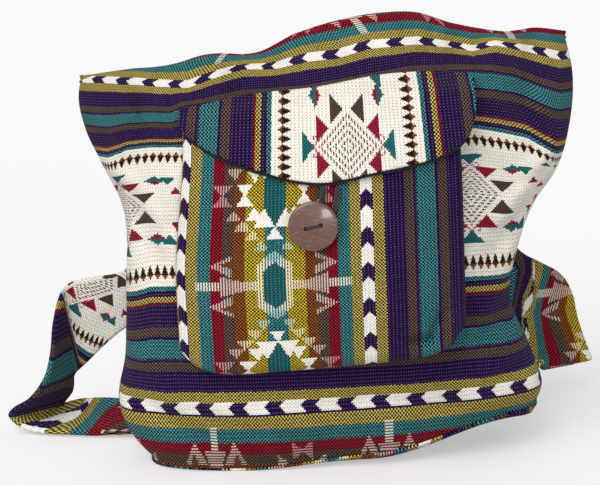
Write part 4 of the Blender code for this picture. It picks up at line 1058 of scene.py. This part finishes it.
def make_strap(name, side, sewn, route, strap_map):
    """A flat tube of cloth along its steps, with rounded edges and closed ends."""
    steps = strap_steps(side, sewn, route)
    centres = [Vector(along(steps, clamp(j / STRAP_ROWS))[:3]) for j in range(-1, STRAP_ROWS + 2)]
    half, round_edge = STRAP_WIDTH / 2, STRAP_THICK / 2
    flat, turns = STRAP_COLUMNS // 2, STRAP_COLUMNS // 4
    outline = [((k / flat * 2 - 1) * (half - round_edge), round_edge) for k in range(flat)]
    bends = [math.pi * k / turns for k in range(turns)]
    outline += [(half - round_edge + round_edge * math.sin(bend), round_edge * math.cos(bend))
                for bend in bends]
    arcs = [a for a, _ in outline[:flat]] + [half - round_edge + round_edge * bend for bend in bends]
    half_round = 2 * (half - round_edge) + math.pi * round_edge
    outline += [(-a, -b) for a, b in outline]
    arcs += [arc + half_round for arc in arcs]
    arcs.append(arcs[0] + 2 * half_round)
    laid_across = {}

    def place(i, j):
        row = j - 1
        across, up = outline[i % len(outline)]
        step = along(steps, clamp(row / STRAP_ROWS))
        wide = Vector(step[3:])
        run = centres[min(row + 2, STRAP_ROWS + 2)] - centres[max(row, 0)]
        out = run.cross(wide).normalized()
        soft = noise.noise(Vector((step[0] * 45, step[2] * 45, across * 30))) * STRAP_RUMPLE
        laid_across[i, j] = row / STRAP_ROWS * (len(steps) - 1), across, arcs[i]
        closed = 0 if row < 0 or row > STRAP_ROWS else 1
        return Vector(step[:3]) + wide * across + out * (up + soft * closed) * closed

    def on_cloth(i, j, p):
        return strap_map(*laid_across[i, j], p)

    strap = cloth_sheet(name, len(outline), STRAP_ROWS + 2, place, on_cloth, weld=True)
    outwards(strap)
    print(name, "is", round(sum((b - a).length for a, b in zip(centres, centres[1:])), 3), "m long")
    return strap


left_strap = make_strap("left_strap_cloth", -1, LEFT_SEWN, LEFT_ROUTE, left_map)
dress(left_strap, cloth, "woven_cloth", "strap_left")
right_strap = make_strap("right_strap_cloth", 1, RIGHT_SEWN, RIGHT_ROUTE, right_map)
dress(right_strap, cloth, "woven_cloth", "strap_right")


# %% [markdown]
# ## Button, thread and loop
#
# The button is turned from coconut shell: a domed disc, dark brown with tan fibres, polished but scratched.
# A stiff black thread holds it, and a cord of felted cloth from the flap hooks round it. The cords are grids
# rolled into tubes, with their last rings drawn to a point so that they are closed.

# %% Button
BUTTON_X, BUTTON_Z = -10 * MM, 199.5 * MM
BUTTON_RADIUS, BUTTON_EDGE, BUTTON_DOME = 18 * MM, 2.4 * MM, 2.2 * MM
BUTTON_SHANK, BUTTON_TURN, BUTTON_AROUND = 6.5 * MM, math.radians(11), 96
HOLE_RADIUS, HOLE_SPACING, HOLE_SIDES = 1.5 * MM, 11 * MM, 32
face_behind = pocket_face(BUTTON_X, BUTTON_Z)
turned_outline = [
    (0, 0), (BUTTON_RADIUS - 1.6 * MM, 0), (BUTTON_RADIUS - 0.5 * MM, 0.4 * MM),
    (BUTTON_RADIUS, BUTTON_EDGE / 2), (BUTTON_RADIUS - 0.15 * MM, BUTTON_EDGE - 0.4 * MM),
    (BUTTON_RADIUS - 0.6 * MM, BUTTON_EDGE),
]
turned_outline += [(share * BUTTON_RADIUS, BUTTON_EDGE + BUTTON_DOME * (1 - share**2))
                   for share in (0.92, 0.84, 0.72, 0.6, 0.48, 0.36, 0.24, 0.12, 0.0)]
stand = Matrix.Translation((BUTTON_X, -face_behind - BUTTON_SHANK, BUTTON_Z))
stand = stand @ Matrix.Rotation(math.pi / 2, 4, "X") @ Matrix.Rotation(BUTTON_TURN, 4, "Z")


def bmesh_piece(name, bm):
    """Makes an object from a bmesh and frees it."""
    mesh = bpy.data.meshes.new(name)
    bmesh.ops.recalc_face_normals(bm, faces=bm.faces)
    bm.to_mesh(mesh)
    bm.free()
    piece = bpy.data.objects.new(name, mesh)
    bpy.context.scene.collection.objects.link(piece)
    return piece


bm = bmesh.new()
verts = [bm.verts.new((x, 0, z)) for x, z in turned_outline]
edges = [bm.edges.new(pair) for pair in zip(verts, verts[1:])]
bmesh.ops.spin(bm, geom=verts + edges, axis=(0, 0, 1), cent=(0, 0, 0), angle=2 * math.pi,
               steps=BUTTON_AROUND, use_merge=True)
bmesh.ops.remove_doubles(bm, verts=bm.verts, dist=1e-6)
blank = bmesh_piece("button_blank", bm)
drills = []
for side in (-1, 1):
    bm = bmesh.new()
    bmesh.ops.create_cone(bm, cap_ends=True, segments=HOLE_SIDES, radius1=HOLE_RADIUS, radius2=HOLE_RADIUS,
                          depth=20 * MM, matrix=Matrix.Translation((side * HOLE_SPACING / 2, 0, 0)))
    drills.append(bmesh_piece("button_drill", bm))
    hole = blank.modifiers.new("hole", "BOOLEAN")
    hole.object = drills[-1]
turned = blank.evaluated_get(bpy.context.evaluated_depsgraph_get())
button_mesh = bpy.data.meshes.new_from_object(turned)
button_mesh.transform(stand)
for used in [blank] + drills:
    bpy.data.objects.remove(used)
button = bpy.data.objects.new("coconut_button", button_mesh)
bpy.context.scene.collection.objects.link(button)
button_mesh.shade_smooth()
button_mesh.set_sharp_from_angle(angle=math.radians(40))

# %% Coconut shell
shell, grain, shell_shader = new_material("coconut_shell_polished", Coat_Weight=0.7, Coat_Roughness=0.12)
spot = add(grain, "ShaderNodeTexCoord").outputs["Object"]
fibre = add(grain, "ShaderNodeMapping",
            {"Vector": spot, "Rotation": (0, 0.6, 0), "Scale": (160, 160, 900)}).outputs[0]
mottle = add(grain, "ShaderNodeTexNoise",
             {"Vector": spot, "Scale": 160.0, "Detail": 6.0, "Roughness": 0.65}).outputs[0]
fleck = add(grain, "ShaderNodeTexNoise",
            {"Vector": fibre, "Scale": 1.0, "Detail": 4.0, "Roughness": 0.6}).outputs[0]
brown = add(grain, "ShaderNodeMix", {0: mottle, 6: linear("#341710"), 7: linear("#7f4d3f")},
            data_type="RGBA").outputs[2]
tan_share = add(grain, "ShaderNodeMapRange", {0: fleck, 1: 0.58, 2: 0.7, 3: 0.0, 4: 0.75}).outputs[0]
brown = add(grain, "ShaderNodeMix", {0: tan_share, 6: brown, 7: linear("#b98e5e")},
            data_type="RGBA").outputs[2]
grain.links.new(brown, shell_shader.inputs["Base Color"])
worn_gloss = add(grain, "ShaderNodeMapRange", {0: mottle, 1: 0.3, 2: 0.7, 3: 0.26, 4: 0.5}).outputs[0]
grain.links.new(worn_gloss, shell_shader.inputs["Roughness"])
fibre_height = add(grain, "ShaderNodeBump", {"Strength": 0.25, "Distance": 0.3 * MM, "Height": fleck})
grain.links.new(fibre_height.outputs[0], shell_shader.inputs["Normal"])
dress(button, shell, "coconut_shell", "button")


# %% Thread and loop
def tube(name, points, radius, around=16):
    """A round cord through points, closed at both ends."""
    middles = [Vector(p) for p in (points[0], *points, points[-1])]
    last = len(middles) - 1
    runs = [(middles[min(k + 1, last)] - middles[max(k - 1, 0)]).normalized() for k in range(last + 1)]
    sides = [Vector((0, -1, 0))]
    for run in runs:
        sides.append((sides[-1] - run * sides[-1].dot(run)).normalized())
    lengths = np.concatenate([[0], np.cumsum([(b - a).length for a, b in zip(middles, middles[1:])])])

    def place(i, j):
        angle = 2 * math.pi * (i % around) / around
        out = sides[j + 1] * math.cos(angle) + runs[j].cross(sides[j + 1]) * math.sin(angle)
        return middles[j] + out * (0 if j in (0, last) else radius)

    def on_cord(i, j, p):
        return 2 * math.pi * radius * i / around, lengths[j]

    piece = cloth_sheet(name, around, last, place, on_cord, weld=True)
    outwards(piece)
    return piece


def smooth_route(points, per_step=6):
    """The points of a smooth curve through a few points."""
    steps = per_step * (len(points) - 1)
    return [along(points, k / steps) for k in range(steps + 1)]


THREAD_RADIUS, LOOP_RADIUS, LOOP_SPREAD = 0.9 * MM, 1.9 * MM, 8.5 * MM
LOOP_START_X = (-1 * MM, 9 * MM)
over = BUTTON_SHANK + BUTTON_EDGE + BUTTON_DOME + THREAD_RADIUS + GAP
hole_at = HOLE_SPACING / 2
stitch = [(1.6 * MM, THREAD_RADIUS / 2 + 2 * GAP), (hole_at, BUTTON_SHANK), (hole_at, over - THREAD_RADIUS),
          (hole_at - 1.2 * MM, over)]
stitch = [(-x, out) for x, out in stitch] + [(x, out) for x, out in reversed(stitch)]
turn_cos, turn_sin = math.cos(BUTTON_TURN), math.sin(BUTTON_TURN)
stitch_points = [(BUTTON_X + x * turn_cos, -face_behind - out, BUTTON_Z + x * turn_sin) for x, out in stitch]
thread_piece = tube("button_thread_cord", stitch_points, THREAD_RADIUS)

start = min(flap_seam(x) - flap_drop(x) for x in LOOP_START_X) - LINING_SHOWS - 2.4 * MM
loop_route = [(LOOP_START_X[0], start), (LOOP_START_X[0] - 4 * MM, start - 12 * MM)]
for k in range(9):
    turn = math.pi * k / 8
    across, down = LOOP_SPREAD * math.cos(turn), LOOP_SPREAD * math.sin(turn)
    loop_route.append((BUTTON_X - across, BUTTON_Z + 1 * MM - down))
loop_route += [(LOOP_START_X[1] - 3 * MM, start - 14 * MM), (LOOP_START_X[1], start)]
loop_points = [(x, -pocket_face(x, z) - LOOP_RADIUS - 2 * GAP, z) for x, z in smooth_route(loop_route)]
loop = tube("button_loop_cord", loop_points, LOOP_RADIUS, around=20)


def fibre_material(name, dark, pale, pitch, roughness, sheen):
    """Twisted or felted yarn: slanting ply in the tube's own map, with painted shade in the ply's grooves,
    and a light fuzz.
    """
    material, tree, shader = new_material(name, Roughness=roughness, Sheen_Weight=sheen)
    cloth_place = add(tree, "ShaderNodeUVMap", uv_map="cloth").outputs[0]
    split = add(tree, "ShaderNodeSeparateXYZ", {0: cloth_place}).outputs
    twist = add(tree, "ShaderNodeMath", {0: split[0], 1: 1.0, 2: split[1]},
                operation="MULTIPLY_ADD").outputs[0]
    turned = add(tree, "ShaderNodeMath", {0: twist, 1: 2 * math.pi / pitch}, operation="MULTIPLY").outputs[0]
    ply = add(tree, "ShaderNodeMath", {0: turned}, operation="SINE").outputs[0]
    fuzz = add(tree, "ShaderNodeTexNoise", {"Vector": cloth_place, "Scale": 900.0, "Detail": 3.0}).outputs[0]
    high = add(tree, "ShaderNodeMath", {0: fuzz, 1: 2.0, 2: ply}, operation="MULTIPLY_ADD").outputs[0]
    # The low parts of the ply get the dark colour as painted shade in its grooves; its crests and the fuzz
    # get the pale one
    share = add(tree, "ShaderNodeMapRange", {0: high, 1: 0.0, 2: 2.2}).outputs[0]
    yarn_with_groove_shade = add(tree, "ShaderNodeMix", {0: share, 6: linear(dark), 7: linear(pale)},
                data_type="RGBA").outputs[2]
    tree.links.new(yarn_with_groove_shade, shader.inputs["Base Color"])
    bump = add(tree, "ShaderNodeBump", {"Strength": 0.5, "Distance": 0.4 * MM, "Height": high}).outputs[0]
    tree.links.new(bump, shader.inputs["Normal"])
    return material


waxed = fibre_material("black_waxed_thread", "#0c0b0c", "#2b292c", 0.8 * MM, 0.5, 0.0)
felted = fibre_material("charcoal_felted_cord", "#151215", "#3b353a", 2.6 * MM, 0.95, 0.3)
dress(thread_piece, waxed, "black_thread", "button_thread")
dress(loop, felted, "charcoal_cloth", "button_loop")


# %% [markdown]
# ## Zip
#
# The zip along the top is hidden in the photograph. Its solids already have the shape of moulded teeth,
# slider and pull, so they stay, and only their materials are made finer: a ribbed black tape, and plated
# zinc that has dulled.

# %% Materials of the zip
tape_cloth, tape_tree, tape_shader = new_material("black_zip_tape", Roughness=0.8)
tape_shader.inputs["Base Color"].default_value = linear("#191719")
spot = add(tape_tree, "ShaderNodeTexCoord").outputs["Object"]
ribs = add(tape_tree, "ShaderNodeTexWave", {"Vector": spot, "Scale": 320.0, "Distortion": 0.4},
           bands_direction="X").outputs[1]
rib_height = add(tape_tree, "ShaderNodeBump", {"Strength": 0.4, "Distance": 0.3 * MM, "Height": ribs})
tape_tree.links.new(rib_height.outputs[0], tape_shader.inputs["Normal"])
zinc, zinc_tree, zinc_shader = new_material("dulled_brass_plating", Metallic=1.0)
spot = add(zinc_tree, "ShaderNodeTexCoord").outputs["Object"]
tarnish = add(zinc_tree, "ShaderNodeTexNoise", {"Vector": spot, "Scale": 260.0, "Detail": 5.0}).outputs[0]
plating = add(zinc_tree, "ShaderNodeMix", {0: tarnish, 6: linear("#7b6036"), 7: linear("#c9a661")},
              data_type="RGBA").outputs[2]
zinc_tree.links.new(plating, zinc_shader.inputs["Base Color"])
dulled = add(zinc_tree, "ShaderNodeMapRange", {0: tarnish, 1: 0.3, 2: 0.7, 3: 0.25, 4: 0.5}).outputs[0]
zinc_tree.links.new(dulled, zinc_shader.inputs["Roughness"])
for solid in bpy.data.objects:
    if solid.name.startswith("zip_"):
        for solid_slot in solid.material_slots:
            solid_slot.material = tape_cloth if "tape" in solid.name else zinc
        print("finer material on", solid.name)

# %% Bring the scene up to date
bpy.context.view_layer.update()
